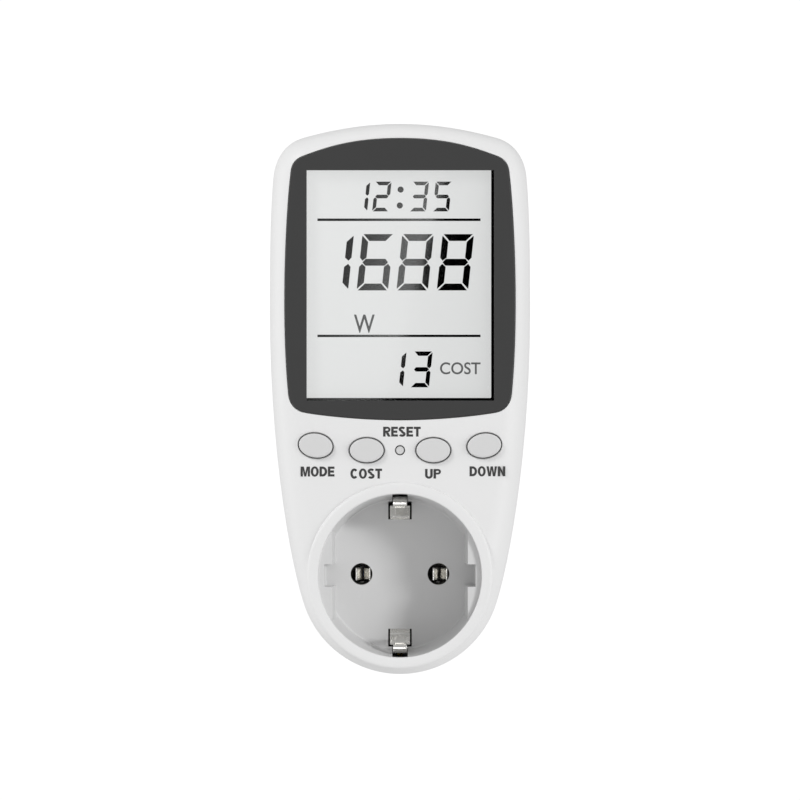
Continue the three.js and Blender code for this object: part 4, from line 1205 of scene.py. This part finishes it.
def plugPin(name, x):
    low, high = nodeBox("live_pin")
    tail, collar, pin = plug["tail"], plug["collar"], plug["pin"]
    return moved(shade(turned(name, [
        (tail, low.y), (tail, low.y + 5), (collar, low.y + 5), (collar, plug["collarBack"]), (pin, plug["collarBack"]),
        (pin, high.y - 1.9, 0.5), (pin - 0.7, high.y - 0.5, 0.4), (0.7, high.y),
    ], 64)), x)


def plugClip():
    bed = plugForm["clipFrom"]
    root = plugForm["noseFront"] + 2.4
    line = [(root, 12.5), (root, bed + 0.65), (root + 4, bed + 1.35), (-5, bed + 1.35), (-0.6, bed + 0.45)]
    return shade(bentStrip("upper_plug_spring", line, plug["clipWidth"], plug["clipThickness"]))


for name, side in (("live_pin", 1), ("neutral_pin", -1)):
    pin = dress(plugPin(f"{name}_turned", side * pinX), "nickel_plate", "housing")
    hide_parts(name)
upperClip = plugClip()
lowerClip = mirroredCopy(upperClip, "lower_plug_spring", "Z")
for clip, node in ((upperClip, "upper_earth_clip"), (lowerClip, "lower_earth_clip")):
    dress(clip, "nickel_plate", "housing")
    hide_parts(node)
report("plug")


fixing = {"shank": 0.95, "head": 2.2, "headHeight": 1.6, "crossLength": 1.5, "crossWidth": 0.26, "crossDepth": 0.9}


def caseScrew():
    low, high = nodeBox("case_screw_1")
    shank, head, under = fixing["shank"], fixing["head"], high.y - fixing["headHeight"]
    screw = turned("case_fixing", [(0.3, low.y), (shank - 0.05, low.y + 1), (shank, under), (head, under, 0.1),
                                   (head, high.y, 0.7), (0.5, high.y)], 48)
    long, narrow = fixing["crossLength"], fixing["crossWidth"]
    for wide, tall in ((long, narrow), (narrow, long)):
        cutAway(screw, block("cross", (-wide, wide), (high.y - fixing["crossDepth"], high.y + 1), (-tall, tall)))
    softenEdges(screw, 0.05, angle=45)
    return shade(screw)


firstScrew = caseScrew()
for i, (x, z) in enumerate(caseScrews):
    screw = moved(copyOf(firstScrew, f"case_fixing_{i + 1}"), x, 0, z)
    dress(screw, "screw_steel", "housing")
    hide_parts(f"case_screw_{i + 1}")
bpy.data.objects.remove(firstScrew)
report("screws")


studio = {
    "distance": 1.8,  # in metres, from the camera to the ring's front
    "spanAtFront": 195.7,
    "height": 43.0,
    "world": 0.47,
    "backdrop": 1.05,
    "floorTone": grey(235),
    "floorGlow": 0.3,
    "cardEdge": [(12.1, 101), (-3.2, 42.5)],  # where the edge of the pale part is mirrored in the display
    "cardFade": 40.0,
    "cardStrength": 2.3,
    "lights": [  # name, place in metres, size, power, the group of pieces that it reaches
        ("faceLightLeft", (-1.3, -1.5, 1.3), 0.7, 15.3, "outside"),
        ("faceLightRight", (1.6, -1.4, 0.0), 1.4, 12.3, "outside"),
        ("sideLeft", (-1.4, -0.2, 0.15), 0.8, 3.8, "outside"),
        ("sideRight", (1.4, -0.2, 0.15), 0.8, 2.6, "outside"),
        ("sideTop", (0, -0.2, 1.5), 0.8, 2.2, "outside"),
        ("recessLight", (0.93, -0.87, 0.3), 0.26, 6.8, "recess"),
        ("contactLight", (-0.3, -1.3, -0.45), 0.8, 9.5, "contacts"),
    ],
}


def addStage():
    bpy.ops.mesh.primitive_plane_add(size=8, location=(0, 0, -0.6))
    floor = settle(named("studio_floor"))
    finish = Finish("paleFloor", Roughness=0.9, Emission_Color=(1, 1, 1, 1), Emission_Strength=studio["floorGlow"])
    tone = finish.blend(finish.noise(3, detail=2), tint(studio["floorTone"], 0.995), studio["floorTone"])
    floor.data.materials.append(finish.shaderInputs(Base_Color=tone))
    floor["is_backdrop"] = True


# A square light that reaches only the pieces given.
def softLight(name, place, target, size, power, pieces):
    bpy.ops.object.light_add(type="AREA", location=place)
    light = bpy.context.object
    light.name = name
    light.data.shape = "RECTANGLE"
    light.data.size = light.data.size_y = size
    light.data.energy = power
    light.rotation_euler = (Vector(target) - Vector(place)).to_track_quat("-Z", "Y").to_euler()
    group = bpy.data.collections.new(name + "Reach")
    for piece in pieces:
        group.objects.link(piece)
    light.light_linking.receiver_collection = group


# A card behind the camera that only mirrored rays meet: black, with a pale part that ends at a slanting edge.
def addCard():
    eye = ringY * mm - studio["distance"]
    far = eye - 0.15
    lensY = nodeBox("display_lens")[0].y * mm
    reach = (2 * lensY - eye - far) / (lensY - eye)
    spread = lambda x, z: Vector((x * reach, studio["height"] + (z - studio["height"]) * reach)) * mm
    top, foot = (spread(x, z) for x, z in studio["cardEdge"])
    along = (top - foot).normalized()
    bpy.ops.mesh.primitive_plane_add(size=0.6, location=(0, far, studio["height"] * mm), rotation=(math.pi / 2, 0, 0))
    card = settle(named("mirrored_card"))
    finish = Finish("mirroredCard", Base_Color=(0, 0, 0, 1), Roughness=1.0, Specular_IOR_Level=0.0,
                    Emission_Strength=studio["cardStrength"])
    x, z = finish.position()
    fade = 1000 / studio["cardFade"]
    inward = x * (along.y * fade) - z * (along.x * fade) + (1 - (foot.x * along.y - foot.y * along.x) * fade)
    card.data.materials.append(finish.shaderInputs(Emission_Color=finish.ramp(inward, [
        (0.0, (0.2, 0.2, 0.2, 1)), (0.985, (1, 1, 1, 1)), (1.0, (0, 0, 0, 1))])))
    for ray in ("camera", "diffuse", "transmission", "shadow", "volume_scatter"):
        setattr(card, "visible_" + ray, False)
    card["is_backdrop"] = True


def addLights():
    world = bpy.context.scene.world or bpy.data.worlds.new("studio")
    bpy.context.scene.world = world
    world.use_nodes = True
    tree = world.node_tree
    background = tree.nodes["Background"]
    white = tree.nodes.new("ShaderNodeBackground")  # the plain backdrop that shows behind the object
    for shader, strength in ((background, studio["world"]), (white, studio["backdrop"])):
        shader.inputs["Color"].default_value = (1, 1, 1, 1)
        shader.inputs["Strength"].default_value = strength
    path = tree.nodes.new("ShaderNodeLightPath")
    mix = tree.nodes.new("ShaderNodeMixShader")
    tree.links.new(path.outputs["Is Camera Ray"], mix.inputs["Fac"])
    tree.links.new(background.outputs[0], mix.inputs[1])
    tree.links.new(white.outputs[0], mix.inputs[2])
    tree.links.new(mix.outputs[0], tree.nodes["World Output"].inputs["Surface"])
    contacts = [upperSpring, lowerSpring] + sleeves
    recess = [cup] + contacts
    groups = {
        "outside": ((0, faceY * mm, 0.03), [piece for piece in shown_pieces() if piece not in recess]),
        "recess": ((0, -0.045, 0), recess),
        "contacts": ((0, -0.045, 0), contacts),
    }
    for name, place, size, power, group in studio["lights"]:
        target, pieces = groups[group]
        softLight(name, place, target, size, power, pieces)


def addCamera():
    distance = studio["distance"] / mm
    bpy.ops.object.camera_add(location=(0, (ringY - distance) * mm, studio["height"] * mm),
                              rotation=(math.pi / 2, 0, 0))
    camera = bpy.context.object
    camera.data.sensor_width = 36
    camera.data.lens = camera.data.sensor_width * distance / studio["spanAtFront"]
    camera.data.clip_start = 0.01
    camera.data.clip_end = 50
    camera.data.dof.use_dof = False
    bpy.context.scene.camera = camera


addStage()
addLights()
addCard()
addCamera()
bpy.context.scene.view_settings.view_transform = "Standard"
report("studio")
